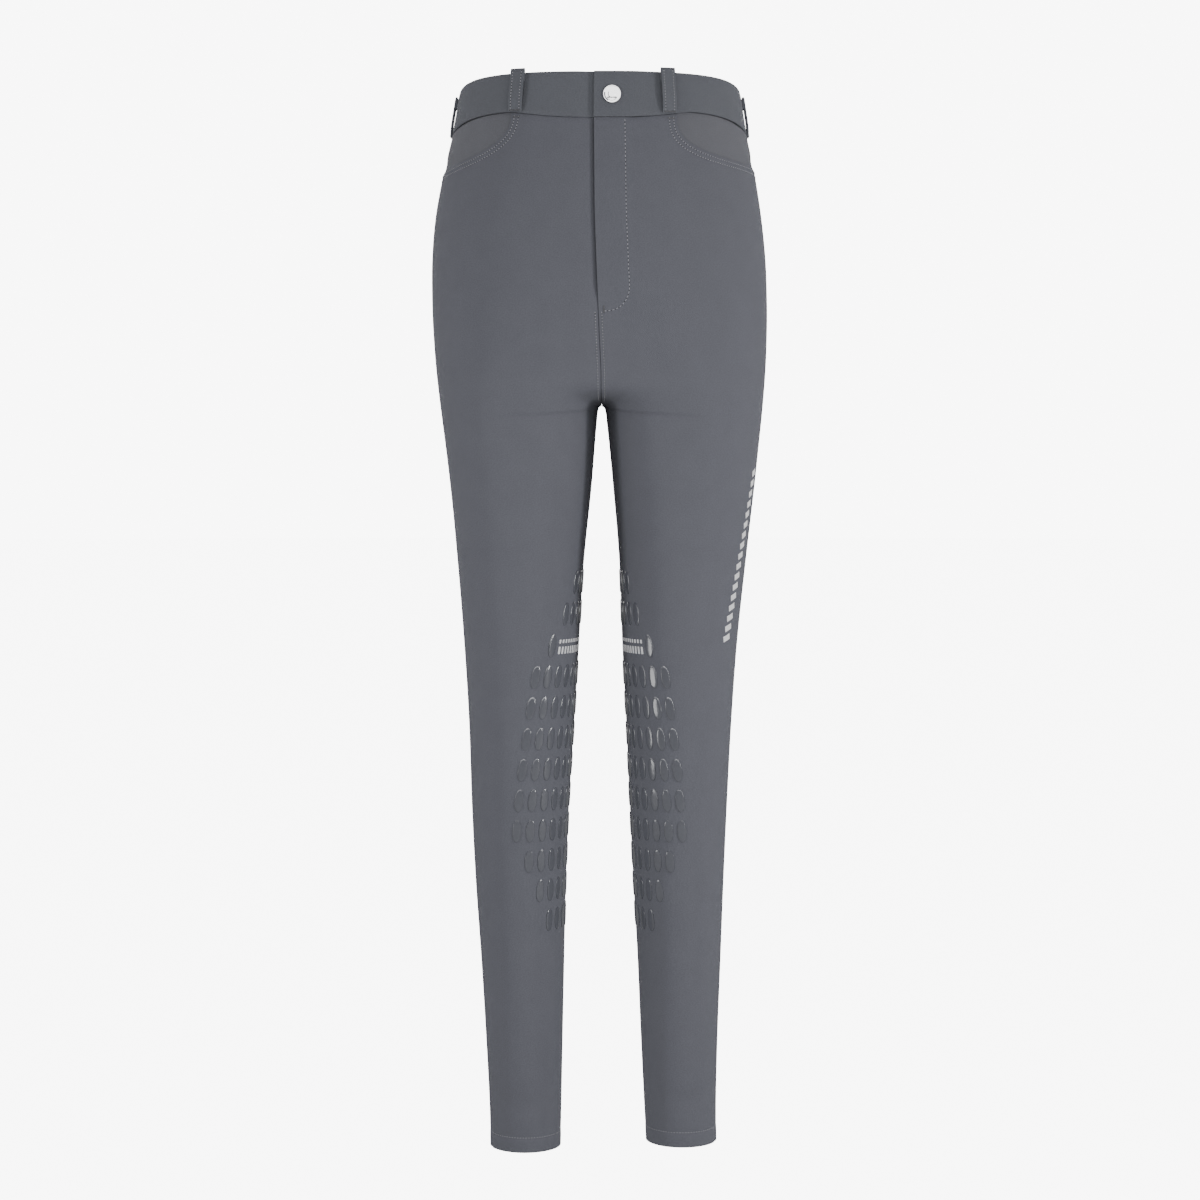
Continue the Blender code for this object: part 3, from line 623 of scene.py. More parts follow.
def even_scoop(side, cells, lap=0.0):
    """Points along the pocket edge, evenly spaced."""
    turns = np.linspace(0, 1, 300)
    z, arc = scoop(side, turns, lap)
    along = run_along(np.stack((z, arc), axis=-1))
    z, arc = scoop(side, np.interp(np.linspace(0, along[-1], cells + 1), along, turns), lap)
    return np.round(z, 6), arc


def front_grid(side):
    """Heights and arcs of a front. The rows under the waist bend round the pocket."""
    pocket_z, pocket_arc = even_scoop(side, POCKET_COLUMNS)
    start = float(front_start(side, WAIST_SEAM))
    band_part = start + spread(pocket_arc[0] - start, FRONT_COLUMNS - POCKET_COLUMNS)
    top_z = np.concatenate((seam_height(band_part[:-1]) - SEAM_GAP / 2, pocket_z))
    top_arc = np.concatenate((band_part[:-1], pocket_arc))

    def ends(z):
        return front_start(side, z), outseam(z) - SEAM_GAP / 2

    first, last = ends(top_z)
    top_share = (top_arc - first) / (last - first)
    low_first, low_last = (float(value) for value in ends(HIP_ROW))
    low_share = spread(low_last - low_first, FRONT_COLUMNS) / (low_last - low_first)
    heights = np.round(top_z + (HIP_ROW - top_z) * TOP_DOWN[:, None], 6)
    shares = top_share + (low_share - top_share) * TOP_DOWN[:, None]
    first, last = ends(heights)
    top = heights, first + (last - first) * shares
    low = slanted_rows(rows_below_hips(side), lambda z: front_start(side, z), -1, FRONT_COLUMNS)
    return (np.concatenate(pair) for pair in zip(top, low))


def back_grid(side):
    """Heights and arcs of a back, its top rows bent to the waist seam."""
    seam = WAIST_SEAM - SEAM_GAP / 2
    top = [(z, z) for z in seam + (HIP_ROW - seam) * TOP_DOWN]
    pairs = np.concatenate((top, rows_below_hips(side)))
    heights, arcs = slanted_rows(pairs, back_end, +1, BACK_COLUMNS)
    bent = slice(0, len(TOP_DOWN))
    level, middle = heights[bent], back_end(heights[bent])
    shares = (arcs[bent] - outseam(level)) / (middle - outseam(level))
    bend = (seam_height(arcs[0]) - WAIST_SEAM) * (1 - TOP_DOWN[:, None])
    heights[bent] = np.round(level + bend, 6)
    arcs[bent] = outseam(heights[bent]) + shares * (back_end(heights[bent]) - outseam(heights[bent]))
    return heights, arcs


def eased(points, heights, passes=40):
    """The sheet with its rows evened out at the crotch's level, all but its edges and its inner side."""
    level = np.exp(-(((heights - CROTCH) / EASE_REACH) ** 2))
    from_rise = np.linalg.norm(points - points[:, :1], axis=-1)
    share = (level * smoothstep(from_rise / EASE_START))[..., None]
    for _ in range(passes):
        middle = (points[:-2] + points[2:]) / 2
        points[1:-1] += 0.5 * share[1:-1] * (middle - points[1:-1])
    return points


def panel(name, side, heights, arcs, proud, edges):
    """One front or back: a sheet on the skin with its seams, creases and turned-up hem."""
    base, _ = skin(side, heights, arcs)
    lift = proud + edge_dip(base, edges) + creased(side, heights, arcs) + hem_shape(side, heights)
    points = eased(skin(side, heights, arcs, lift)[0], heights)
    flipped = (side < 0) != ("back" in name)
    piece = lay_sheet(name, points, arcs - outseam(heights), heights, flipped)
    fold = HEM[side] + HEM_FOLD + 0.1 * MM
    hem = piece.vertex_groups.new(name="hem")
    hem.add([vertex.index for vertex in piece.data.vertices if vertex.co.z < fold], 1.0, "REPLACE")
    finish_sheet(
        piece, base, CLOTH + HEM_EXTRA, "Breeches cloth", "cloth", name, vertex_group="hem",
        thickness_vertex_group=CLOTH / (CLOTH + HEM_EXTRA),
    )
    piece.vertex_groups.clear()


def underlay_piece(side, name, across=30, down=14):
    """The hip piece inside the pocket, running on under the front's edge and rising to its two seams."""
    edge_z, edge_arc = (values[1:] for values in even_scoop(side, across, POCKET_LAP))
    seam = seam_height(edge_arc) - SEAM_GAP / 2
    heights = np.round(seam + (np.minimum(edge_z, seam) - seam) * np.linspace(0, 1, down)[:, None], 6)
    arcs = edge_arc * outseam(heights) / outseam(edge_z)
    corner, start = scoop(side, 0.0)
    outward = np.maximum(outseam(heights) - arcs, 0) / (outseam(heights) - start)
    depth = np.maximum(corner - heights, 0) / (corner - WAIST_SEAM + POCKET_DROP[side])
    square = POCKET_SQUARE[side]
    inside = 1 - (outward**square + depth**square) ** (1 / square)
    points, _ = skin(side, heights, arcs, -(CLOTH + LAP_GAP) * (1 - smoothstep(inside / UNDERLAY_RISE)))
    piece = lay_sheet(name, points, arcs, heights, flipped=side < 0)
    finish_sheet(piece, points, CLOTH, "Underlay cloth", "underlay", name)


def underlap_piece(name, rows=40, columns=12):
    """The strip behind the fly's edge, just inside both fronts."""
    heights = np.linspace(WAIST_SEAM - SEAM_GAP, UNDERLAP_END, rows)
    heights, arcs = np.meshgrid(heights, np.linspace(*UNDERLAP_SPAN, columns), indexing="ij")
    points, _ = skin(1, heights, arcs, -(CLOTH + LAP_GAP))
    piece = lay_sheet(name, points, arcs, heights)
    finish_sheet(piece, points, UNDERLAP_CLOTH, "Underlay cloth", "cloth", name)


ALLOWANCE = 12 * MM
ALLOWANCE_CLOTH = 0.8 * MM
ALLOWANCE_IN = CLOTH + SEAM_DIP + 0.15 * MM
UNDER_POCKET = 1.5 * MM
UNDER_POCKET_FADE = 5 * MM


def allowance_strip(name, side, heights, arcs, lift):
    """The cloth's own edge behind a seam, laid as a thin strip on the inside."""
    points, _ = skin(side, heights, arcs, lift)
    piece = lay_sheet(name, points, arcs, heights, flipped=side < 0)
    finish_sheet(piece, points, ALLOWANCE_CLOTH, "Underlay cloth", "cloth")


def allowance(name, side, heights, line, lift=lambda z: 0 * z, columns=5):
    """The strip behind a seam that runs down the garment, from the first height to the last."""
    heights = np.round(np.repeat(np.asarray(heights)[:, None], columns, axis=1), 6)
    arcs = line(heights) + np.linspace(-ALLOWANCE / 2, ALLOWANCE / 2, columns)
    in_hem = smoothstep((HEM[side] + HEM_FOLD - heights) / (3 * MM) + 1)
    allowance_strip(name, side, heights, arcs, lift(heights) - ALLOWANCE_IN - HEM_EXTRA * in_hem)


def waist_allowance(around=300, rows=5):
    """The strip behind the waist seam, from one side of the fly all the way round to the other."""
    half = ring(0.0).length
    arcs = np.linspace(SEAM_GAP / 2, 2 * half - SEAM_GAP / 2, around)
    across = np.linspace(ALLOWANCE / 2, -ALLOWANCE / 2, rows)[:, None]
    heights = np.round(seam_height(arcs, 0.0) + across, 6)
    here = arcs * whole_arc(heights) / half
    allowance_strip("allowance_waist", 1, heights, here, -ALLOWANCE_IN - UNDER_POCKET)


def under_pocket(side, z):
    """The strip at the outseam passes inside the pocket piece's lower edge."""
    down = WAIST_SEAM - z
    edge = POCKET_DROP[side] + POCKET_LAP + 1 * MM
    first = smoothstep((down - 0.35 * POCKET_DROP[side]) / UNDER_POCKET_FADE)
    return -UNDER_POCKET * first * (1 - smoothstep((down - edge) / UNDER_POCKET_FADE))


# ---- Waistband and what is on it


def band_top(y):
    """Height of the band's top edge: it dips over the side seams."""
    return BAND_TOP - SIDE_DIP * np.exp(-((y / SIDE_DIP_REACH) ** 2))


def band_lift(arc, full):
    """The outer face of the band: raised where it laps over, sunk where it passes under."""
    over = FLY_RAISE * (1 - smoothstep((arc - BAND_EASE[0]) / (BAND_EASE[1] - BAND_EASE[0])))
    edge = full + table_at(FLY_LINE, 0) * MM - 2 * MM
    under = BAND_DIP * smoothstep((arc - edge + BAND_DIP_RUN) / BAND_DIP_RUN)
    return BAND_PROUD + over - under


def band_piece(name, rows=17, around=300):
    """One strip round the waist from the lapped edge, left side first, on to its own underlap."""
    level = ring(0.0)
    full = 2 * level.length
    start = float(table_at(FLY_LINE, 0)) * MM
    arcs = np.concatenate((
        start + EDGE_STEPS[:-1],
        np.linspace(start + EDGE_STEPS[-1], full - 2 * BAND_DIP_RUN, around),
        np.linspace(full - 2 * BAND_DIP_RUN, full + BAND_LAP, 24)[1:],
    ))
    bottom = seam_height(arcs, 0.0) + SEAM_GAP / 2
    top = band_top(level.at(arcs)[1])
    shares = np.concatenate(((0, 0.02, 0.05), np.linspace(0.1, 0.9, rows - 6), (0.95, 0.98, 1)))[::-1, None]
    heights = np.round(bottom + (top - bottom) * shares, 6)
    here = arcs * whole_arc(heights) / level.length
    lift = band_lift(arcs, full) * np.ones_like(heights)
    base, _ = skin(1, heights, here, lift)
    lift = lift + edge_dip(base, ("bottom",)) * 0.6
    roll = BAND_ROLL * np.exp(-((np.linalg.norm(base - base[:1], axis=-1) / BAND_ROLL_REACH) ** 2))
    wave = BAND_WAVE * np.sin(here / BAND_WAVE_RUN) * shares * (here < full - 40 * MM)
    points, _ = skin(1, heights, here, lift - roll + wave)
    finish_sheet(lay_sheet(name, points, here, heights), base, BAND_CLOTH, "Band cloth", "band", name)


def rounded_path(path, steps):
    """A smooth line through the points of a short path."""
    path = np.array(path)
    slopes = np.gradient(path, axis=0)
    fine = np.linspace(0, len(path) - 1, steps)
    at = np.minimum(fine.astype(int), len(path) - 2)
    return hermite((fine - at)[:, None], path[at], path[at + 1], slopes[at], slopes[at + 1])


def loop_frame(arc, over, stand, steps=60):
    """Middle points of a belt loop's strap, and its way across."""
    level = ring(0.0)
    top = band_top(level.at(arc)[1]) + over - LOOP_CLOTH / 2
    bottom = float(seam_height(arc, 0.0)) + SEAM_GAP / 2
    lifts, shares = rounded_path(LOOP_PATH, steps).T
    lifts = LOOP_PATH[0][0] + (lifts - LOOP_PATH[0][0]) * stand
    heights = bottom + (top - bottom) * shares
    middle, _ = skin(1, heights, arc * whole_arc(heights) / level.length, BAND_PROUD + lifts * MM)
    ahead, behind = (np.array((*level.at(arc + way * MM), 0.0)) for way in (1, -1))
    return middle, unit(ahead - behind)


LOOP_GROOVE = 0.12 * MM
LOOP_STITCH_IN = 2.2 * MM
LOOP_STITCH_WIDE = 0.7 * MM


def belt_loop(name, arc, over, stand, columns=15):
    """A strap sewn to the band at its seam and at its top, standing off between them."""
    middle, across = loop_frame(arc, over, stand)
    face = np.cross(across, unit(np.gradient(middle, axis=0)))
    places = np.linspace(-LOOP_WIDTH / 2, LOOP_WIDTH / 2, columns)
    at_row = np.exp(-(((np.abs(places) - LOOP_WIDTH / 2 + LOOP_STITCH_IN) / LOOP_STITCH_WIDE) ** 2))
    points = middle[:, None] + places[:, None] * across - (LOOP_GROOVE * at_row)[:, None] * face[:, None]
    points = points[::-1]
    places, lengths = np.broadcast_arrays(places, run_along(middle)[::-1, None])
    piece = lay_sheet(name, points, places, lengths)
    finish_sheet(piece, points, LOOP_CLOTH, "Band cloth", "band", name, offset=0.0)


def loop_places():
    """Name, arc, rise over the band and share of the full stand-off of each belt loop."""
    full, side, fly = 2 * ring(0.0).length, float(outseam(0.0)), float(table_at(FLY_LINE, 0)) * MM
    for place, arc in (
        ("front_left", LOOP_OFFSET[+1] + fly), ("front_right", full - LOOP_OFFSET[-1] + fly),
        ("side_left", side), ("side_right", full - side), ("back", full / 2),
    ):
        kind = place.split("_")[0]
        yield f"belt_loop_{place}", arc, LOOP_OVER[kind], LOOP_STAND[kind]


def join_copies(name, shape, places, finish, side=1, degrees=60):
    """One piece of many copies of a small shape. places(points) gives every copy's points, copy by copy."""
    points = np.array([vertex.co for vertex in shape.data.vertices])
    faces = [tuple(face.vertices) for face in shape.data.polygons]
    copies = places(points)
    joined = bpy.data.meshes.new(name)
    joined.from_pydata(copies.reshape(-1, 3).tolist(), [], [
        tuple(index + len(points) * copy for index in face) for copy in range(len(copies)) for face in faces
    ])
    bpy.data.objects.remove(shape, do_unlink=True)
    piece = bpy.data.objects.new(name, joined)
    bpy.context.scene.collection.objects.link(piece)
    if side < 0:
        joined.flip_normals()
    finish_piece(piece, finish, degrees=degrees)


def surface_of(name):
    """A finished piece's surface, to lay sewing on."""
    return BVHTree.FromObject(bpy.data.objects[f"{name}_cloth"], bpy.context.evaluated_depsgraph_get())


def settled_on(tree, points, out, reach=4 * MM):
    """Points moved along their outward directions onto the outer face of a piece."""
    found = points.copy()
    for number, (point, way) in enumerate(zip(points, out)):
        hit, *_ = tree.ray_cast(Vector(point + way * reach), Vector(-way), reach * 2)
        if hit is not None:
            found[number] = hit
    return found


@contextmanager
def editing(outward=False):
    """Edit mode with everything selected. Asked to, it turns the faces outward before it leaves."""
    bpy.ops.object.mode_set(mode="EDIT")
    bpy.ops.mesh.select_all(action="SELECT")
    yield
    if outward:
        bpy.ops.mesh.select_all(action="SELECT")
        bpy.ops.mesh.normals_make_consistent(inside=False)
    bpy.ops.object.mode_set(mode="OBJECT")


def raise_faces(rise):
    bpy.ops.mesh.extrude_region_move(TRANSFORM_OT_translate={"value": (0, 0, rise)})


def disc(vertices, radius, **place):
    deselect()
    bpy.ops.mesh.primitive_circle_add(vertices=vertices, radius=radius, fill_type="NGON", **place)
    return bpy.context.object


def stitch_shape():
    """One stitch of unit length, width and height along X: a rounded thread, low at its ends."""
    deselect()
    bpy.ops.mesh.primitive_uv_sphere_add(segments=8, ring_count=6, radius=0.5)
    shape = bpy.context.object
    with editing():
        bpy.ops.transform.rotate(value=math.pi / 2, orient_axis="Y", center_override=(0, 0, 0))
    for vertex in shape.data.vertices:
        vertex.co.x = math.copysign(0.5 * abs(2 * vertex.co.x) ** 0.8, vertex.co.x)
    return shape


def hole_shape():
    """The pucker where a thread goes down: a small flat ring with its middle raised."""
    shape = disc(8, 0.5)
    with editing():
        bpy.ops.mesh.inset(thickness=0.25, depth=0)
        bpy.ops.transform.translate(value=(0, 0, 0.2))
    return shape


def row_on(on, side, *ends):
    """A row of stitches on a piece, from the heights and arcs of their starts and of their ends."""
    tree, row = surface_of(on), []
    for heights, arcs in ends:
        points, out = skin(side, heights, arcs)
        row.append(settled_on(tree, points, out))
    return (*row, out)


def sew(name, runs, settings):
    """Stitches along runs. A run is (side, heights, arcs, piece it lies on)."""
    found = []
    for side, heights, arcs, on in runs:
        along = run_along(skin(side, heights, arcs)[0])
        count = max(int(along[-1] / settings.pitch), 1)
        middles = (np.arange(count) + 0.5) * along[-1] / count
        tips = (middles - settings.stitch / 2, middles + settings.stitch / 2)
        starts, ends = ([np.interp(tip, along, values) for values in (heights, arcs)] for tip in tips)
        found.append(row_on(on, side, starts, ends))
    finish_stitches(name, found, "Thread", settings)


# Of the thread's width: a pucker's length, width and height, and a stitch's height and rise
PUCKER = (1.5, 1.6, 0.6)
PUCKER_CLEAR = 0.03 * MM
STITCH_RISE = (0.8, 0.2)


def finish_stitches(name, found, finish, settings, hole_shades=True):
    """One piece of thread, and one of its puckers, dark with the painted shade of the needle holes, from
    (starts, ends, outward directions) by row.
    """
    starts, ends, outs = (np.concatenate(values)[:, None] for values in zip(*found))
    ahead, middle, thread = ends - starts, (starts + ends) / 2, settings.thread
    way = unit(ahead)
    across = unit(np.cross(outs, way))
    pucker = ends + way * (settings.pitch - settings.stitch) / 2

    def stitches(shape):
        u, v, w = shape.T[:, None, :, None]
        high, rise = (share * thread for share in STITCH_RISE)
        return middle + u * ahead + v * thread * across + (w * high + rise) * outs

    def puckers(shape):
        u, v, w = (size * share * thread for size, share in zip(shape.T[:, None, :, None], PUCKER))
        return pucker + u * way + v * across + (w + PUCKER_CLEAR) * outs

    join_copies(name, stitch_shape(), stitches, finish, degrees=80)
    if hole_shades:
        join_copies(f"{name}_holes", hole_shape(), puckers, "Needle hole", degrees=80)


# ---- Materials


def feed(tree, node, inputs):
    """Links each input of a node, by name or number, to a socket, or sets it to a value."""
    for name, value in inputs.items():
        if isinstance(value, bpy.types.NodeSocket):
            tree.links.new(value, node.inputs[name])
        else:
            node.inputs[name].default_value = value


def add_node(tree, kind, inputs=None, **settings):
    """A new node beside the others, with its inputs fed."""
    row, place = divmod(len(tree.nodes), 8)
    made = tree.nodes.new(kind)
    made.location = (220 * place, -300 * row)
    for name, value in settings.items():
        setattr(made, name, value)
    feed(tree, made, inputs or {})
    return made


def noise(tree, place, size, detail=3.0, dimensions="3D"):
    """An uneven value from 0 to 1 at a place, its grains of one size."""
    inputs = {"Vector": place, "Scale": 1 / size, "Detail": detail}
    return add_node(tree, "ShaderNodeTexNoise", inputs, noise_dimensions=dimensions).outputs["Fac"]


def scaled(tree, colour, shade):
    return add_node(tree, "ShaderNodeVectorMath", {0: colour, "Scale": shade}, operation="SCALE").outputs[0]


def bumped(tree, height, distance):
    return add_node(tree, "ShaderNodeBump", {"Height": height, "Distance": distance}).outputs[0]


def calc(tree, operation, *values):
    """A Math node's result. Its inputs are sockets or numbers."""
    return add_node(tree, "ShaderNodeMath", dict(enumerate(values)), operation=operation).outputs[0]


THREADS = 0.42 * MM
FLECK_SIZE = 1.1 * MM
MOTTLE_SIZE = 26 * MM
WEAVE_BUMP = 0.08 * MM
WEAVE_FLECK = 0.30

# The twill's inputs with their defaults, and its outputs
TWILL_INPUTS = (
    ("Cloth", "Color", (0.12, 0.125, 0.142, 1)), ("Fleck", "Float", 0.5), ("Roughness", "Float", 0.8),
)
TWILL_OUTPUTS = (("Color", "Color"), ("Roughness", "Float"), ("Height", "Float"))


def weave_group():
    """Stretch twill: fine diagonal ribs of crossing threads, flecks of lighter yarn and a slow mottle.

    It reads the Cloth map, the piece's own cut in metres.
    """
    tree = bpy.data.node_groups.new("Stretch twill", "ShaderNodeTree")
    for name, kind, default in TWILL_INPUTS:
        socket = tree.interface.new_socket(name=name, in_out="INPUT", socket_type=f"NodeSocket{kind}")
        socket.default_value = default
    for name, kind in TWILL_OUTPUTS:
        tree.interface.new_socket(name=name, in_out="OUTPUT", socket_type=f"NodeSocket{kind}")
    given = add_node(tree, "NodeGroupInput").outputs
    cut = add_node(tree, "ShaderNodeUVMap", uv_map="Cloth").outputs[0]
    across, down, _ = add_node(tree, "ShaderNodeSeparateXYZ", {0: cut}).outputs
    turns, rows = (calc(tree, "MULTIPLY", value, 2 * math.pi / THREADS) for value in (across, down))
    rib = calc(tree, "SINE", calc(tree, "MULTIPLY", calc(tree, "ADD", turns, rows), 0.5))
    weave = calc(tree, "MULTIPLY_ADD", rib, 0.5, calc(tree, "MULTIPLY", calc(tree, "SINE", turns), 0.3))
    flecks = noise(tree, cut, FLECK_SIZE, 2.0, "2D")
    fleck = calc(tree, "MULTIPLY", calc(tree, "SUBTRACT", flecks, 0.5), given["Fleck"])
    mottle = calc(tree, "SUBTRACT", noise(tree, cut, MOTTLE_SIZE, 3.0, "2D"), 0.5)
    shade = calc(tree, "ADD", calc(tree, "ADD", fleck, calc(tree, "MULTIPLY", mottle, 0.07)), 1.0)
    add_node(tree, "NodeGroupOutput", {
        "Color": scaled(tree, given["Cloth"], calc(tree, "MULTIPLY_ADD", weave, 0.06, shade)),
        "Roughness": calc(tree, "MULTIPLY_ADD", fleck, 0.2, given["Roughness"]),
        "Height": calc(tree, "MULTIPLY_ADD", flecks, 0.4, weave),
    })
    return tree


def new_material(name, colour, **shader):
    """A material whose Principled shader has the given sockets set."""
    made = bpy.data.materials.new(name)
    made.use_nodes = True
    made.diffuse_color = (*colour, 1)
    principled = made.node_tree.nodes["Principled BSDF"]
    feed(made.node_tree, principled, {name.replace("_", " "): value for name, value in shader.items()})
    return made, made.node_tree, principled


def cloth_material(name, colour, roughness):
    """Matt stretch twill with a faint bloom of loose fibre."""
    made, tree, principled = new_material(
        name, colour, Sheen_Weight=0.04, Sheen_Roughness=0.5, Specular_IOR_Level=0.08,
    )
    twill = bpy.data.node_groups.get("Stretch twill") or weave_group()
    inputs = {"Cloth": (*colour, 1), "Fleck": WEAVE_FLECK, "Roughness": roughness}
    weave = add_node(tree, "ShaderNodeGroup", inputs, node_tree=twill).outputs
    bump = bumped(tree, weave["Height"], WEAVE_BUMP)
    feed(tree, principled, {"Base Color": weave["Color"], "Roughness": weave["Roughness"], "Normal": bump})
    return made


def noise_material(name, colour, size, amount, roughness, bump=0.0, **shader):
    """A plain finish with fine uneven colour, gloss and height, for thread, silicone, print and metal."""
    made, tree, principled = new_material(name, colour, **shader)
    grain = noise(tree, add_node(tree, "ShaderNodeTexCoord").outputs["Object"], size)
    uneven = calc(tree, "SUBTRACT", grain, 0.5)
    feed(tree, principled, {
        "Base Color": scaled(tree, colour, calc(tree, "MULTIPLY_ADD", uneven, amount, 1.0)),
        "Roughness": calc(tree, "MULTIPLY_ADD", uneven, amount * 0.5, roughness),
    })
    if bump:
        feed(tree, principled, {"Normal": bumped(tree, grain, bump)})
    return made


def floor_paper(stage):
    """Pale paper, lit up for the camera alone so that it meets the backdrop."""
    made = noise_material("Floor paper", stage.floor_colour, 0.4, 0.01, 0.9, Specular_IOR_Level=0.0)
    tree = made.node_tree
    seen = add_node(tree, "ShaderNodeLightPath").outputs["Is Camera Ray"]
    glow = calc(tree, "MULTIPLY", seen, stage.backdrop)
    feed(tree, tree.nodes["Principled BSDF"], {"Emission Color": (1, 1, 1, 1), "Emission Strength": glow})
    return made


CLOTHS = {"Breeches cloth": "cloth_colour", "Band cloth": "band_colour", "Underlay cloth": "underlay_colour"}

# Of each other finish: its colour setting, size and amount of unevenness, roughness, depth of its bumps, and
# what else its shader has.
FINISHES = {
    "Thread": ("thread_colour", 0.5 * MM, 0.5, 0.6, 0.0, {"Sheen_Weight": 0.1}),
    # Painted shade: the dark puckers stand for the shadow in the needle holes between stitches
    "Needle hole": ("hole_shade_colour", 0.5 * MM, 0.3, 0.9, 0.0, {}),
    "Bar tack": ("tack_and_snap_shade_colour", 0.5 * MM, 0.5, 0.65, 0.0, {}),
    "Grip silicone": (
        "grip_colour", 3 * MM, 0.2, 0.16, 0.03 * MM, {"Coat_Weight": 0.6, "Coat_Roughness": 0.08},
    ),
    "Silver print": ("print_colour", 0.8 * MM, 0.12, 0.45, 0.02 * MM, {"Metallic": 0.15}),
    "Polished snap": ("snap_colour", 1.5 * MM, 0.06, 0.12, 0.01 * MM, {"Metallic": 1.0}),
    # The snap's painted shade: dark metal on its outer edge and on the shadowed side of its grooves
    "Snap edge": ("tack_and_snap_shade_colour", 1.5 * MM, 0.1, 0.4, 0.0, {"Metallic": 0.8}),
}


def surface(name):
    """A finish by name, made when it is first asked for."""
    if name in bpy.data.materials:
        return bpy.data.materials[name]
    scene = bpy.context.scene
    if name in CLOTHS:
        cloth = scene.breeches_cloth
        return cloth_material(name, getattr(cloth, CLOTHS[name]), cloth.roughness)
    colour, size, amount, roughness, bump, shader = FINISHES[name]
    return noise_material(name, getattr(scene.breeches_trim, colour), size, amount, roughness, bump, **shader)


# ---- Settings


def a_colour(name, description, *default):
    return bpy.props.FloatVectorProperty(
        name=name, description=description, subtype="COLOR", size=3, default=default, min=0, max=1,
    )


def a_number(name, description, default, least=0, most=50, **kind):
    return bpy.props.FloatProperty(
        name=name, description=description, default=default, min=least, max=most, **kind,
    )


a_length = partial(a_number, unit="LENGTH")
a_power = partial(a_number, unit="POWER", most=500)


class ClothSettings(bpy.types.PropertyGroup):
    cloth_colour: a_colour("Cloth", "Colour of the fronts and backs", 0.124, 0.127, 0.148)
    band_colour: a_colour("Band", "Colour of the waistband and belt loops", 0.120, 0.125, 0.142)
    underlay_colour: a_colour("Underlay", "Colour of the hip pieces inside the pockets", 0.137, 0.139, 0.156)
    roughness: a_number("Roughness", "Roughness of the cloth", 0.85, most=1, subtype="FACTOR")


class TrimSettings(bpy.types.PropertyGroup):
    stitch: a_length("Stitch", "Length of a visible stitch", 1.5 * MM, 0.5 * MM, 6 * MM)
    pitch: a_length("Pitch", "From one stitch to the next", 2.6 * MM, 1 * MM, 8 * MM)
    thread: a_length("Thread", "Width of the thread", 0.6 * MM, 0.2 * MM, 1.5 * MM)
    thread_colour: a_colour("Thread colour", "Colour of the topstitching", 0.30, 0.305, 0.33)
    # Also colours the painted shade on the snap's edge and grooves
    tack_and_snap_shade_colour: a_colour("Tack colour", "Colour of the bar tacks", 0.07, 0.071, 0.08)
    # Painted shade in the needle holes between stitches
    hole_shade_colour: a_colour("Needle hole colour", "Colour of the shadow between stitches", 0.030, 0.031, 0.036)
    grip_colour: a_colour("Grip colour", "Colour of the silicone pads", 0.098, 0.102, 0.119)
    pad_high: a_length("Pad height", "How far a grip pad stands off the cloth", 0.8 * MM, 0.2 * MM, 2 * MM)
    print_colour: a_colour("Print colour", "Colour of the plain bars", 0.85, 0.85, 0.86)
    snap_colour: a_colour("Snap colour", "Colour of the snap's metal", 0.95, 0.95, 0.95)


class StageSettings(bpy.types.PropertyGroup):
    sky: a_number("Tent", "Strength of the even light all round", 0.48, most=5)
    backdrop: a_number("Backdrop", "How much brighter the backdrop is seen than it shines", 8.0)
    mirror: a_number("Mirrored tent", "How much brighter the tent is in reflections", 2.4)
    key: a_power("Key light", "Power of the large soft light in front", 8.3)
    strip: a_power("Strip light", "Power of the narrow light at the right", 13.5)
    fill: a_power("Fill strip", "Power of the narrow light at the left", 7.3)
    card: a_power("Gloss card", "Power of the card that the grip pads mirror", 1.6)
    floor: a_length("Floor", "Height of the floor", -1.06, -3, -1)
    floor_colour: a_colour("Floor colour", "Colour of the floor", 0.40, 0.40, 0.40)


# ---- Operators


class BREECHES_OT_fronts(bpy.types.Operator):
    """Cut the two fronts and sew them over the worn form"""

    bl_idname = "breeches.fronts"
    bl_label = "Fronts"

    def execute(self, context):
        for word, side in SIDES:
            heights, arcs = front_grid(side)
            proud = (fly_lift if side > 0 else under_lift)(heights, arcs)
            edges = ("top", "end") if side > 0 else ("top", "start", "end")
            panel(f"front_{word}", side, heights, arcs, proud, edges)
        return {"FINISHED"}


class BREECHES_OT_backs(bpy.types.Operator):
    """Cut the two backs and sew them over the worn form"""

    bl_idname = "breeches.backs"
    bl_label = "Backs"

    def execute(self, context):
        for word, side in SIDES:
            panel(f"back_{word}", side, *back_grid(side), 0.0, ("top", "start", "end"))
        return {"FINISHED"}


class BREECHES_OT_pockets(bpy.types.Operator):
    """Put the hip pieces inside the scoop pockets and the strip behind the fly"""

    bl_idname = "breeches.pockets"
    bl_label = "Pockets and fly"

    def execute(self, context):
        for word, side in SIDES:
            underlay_piece(side, f"pocket_underlay_{word}")
        underlap_piece("fly_underlap")
        return {"FINISHED"}


class BREECHES_OT_waistband(bpy.types.Operator):
    """Put the band round the waist and sew the belt loops to it"""

    bl_idname = "breeches.waistband"
    bl_label = "Waistband and loops"

    def execute(self, context):
        band_piece("waistband")
        for name, arc, over, stand in loop_places():
            belt_loop(name, arc, over, stand)
        return {"FINISHED"}


def press_shape(name, radius, rings):
    """A round metal piece on its back, raised and sunk ring by ring: (inset, rise) for each ring."""
    piece = disc(48, radius)
    piece.name = piece.data.name = name
    with editing(outward=True):
        raise_faces(rings[0][1])
        for inset, rise in rings[1:]:
            bpy.ops.mesh.inset(thickness=inset, depth=0)
            bpy.ops.transform.translate(value=(0, 0, rise))
    return piece


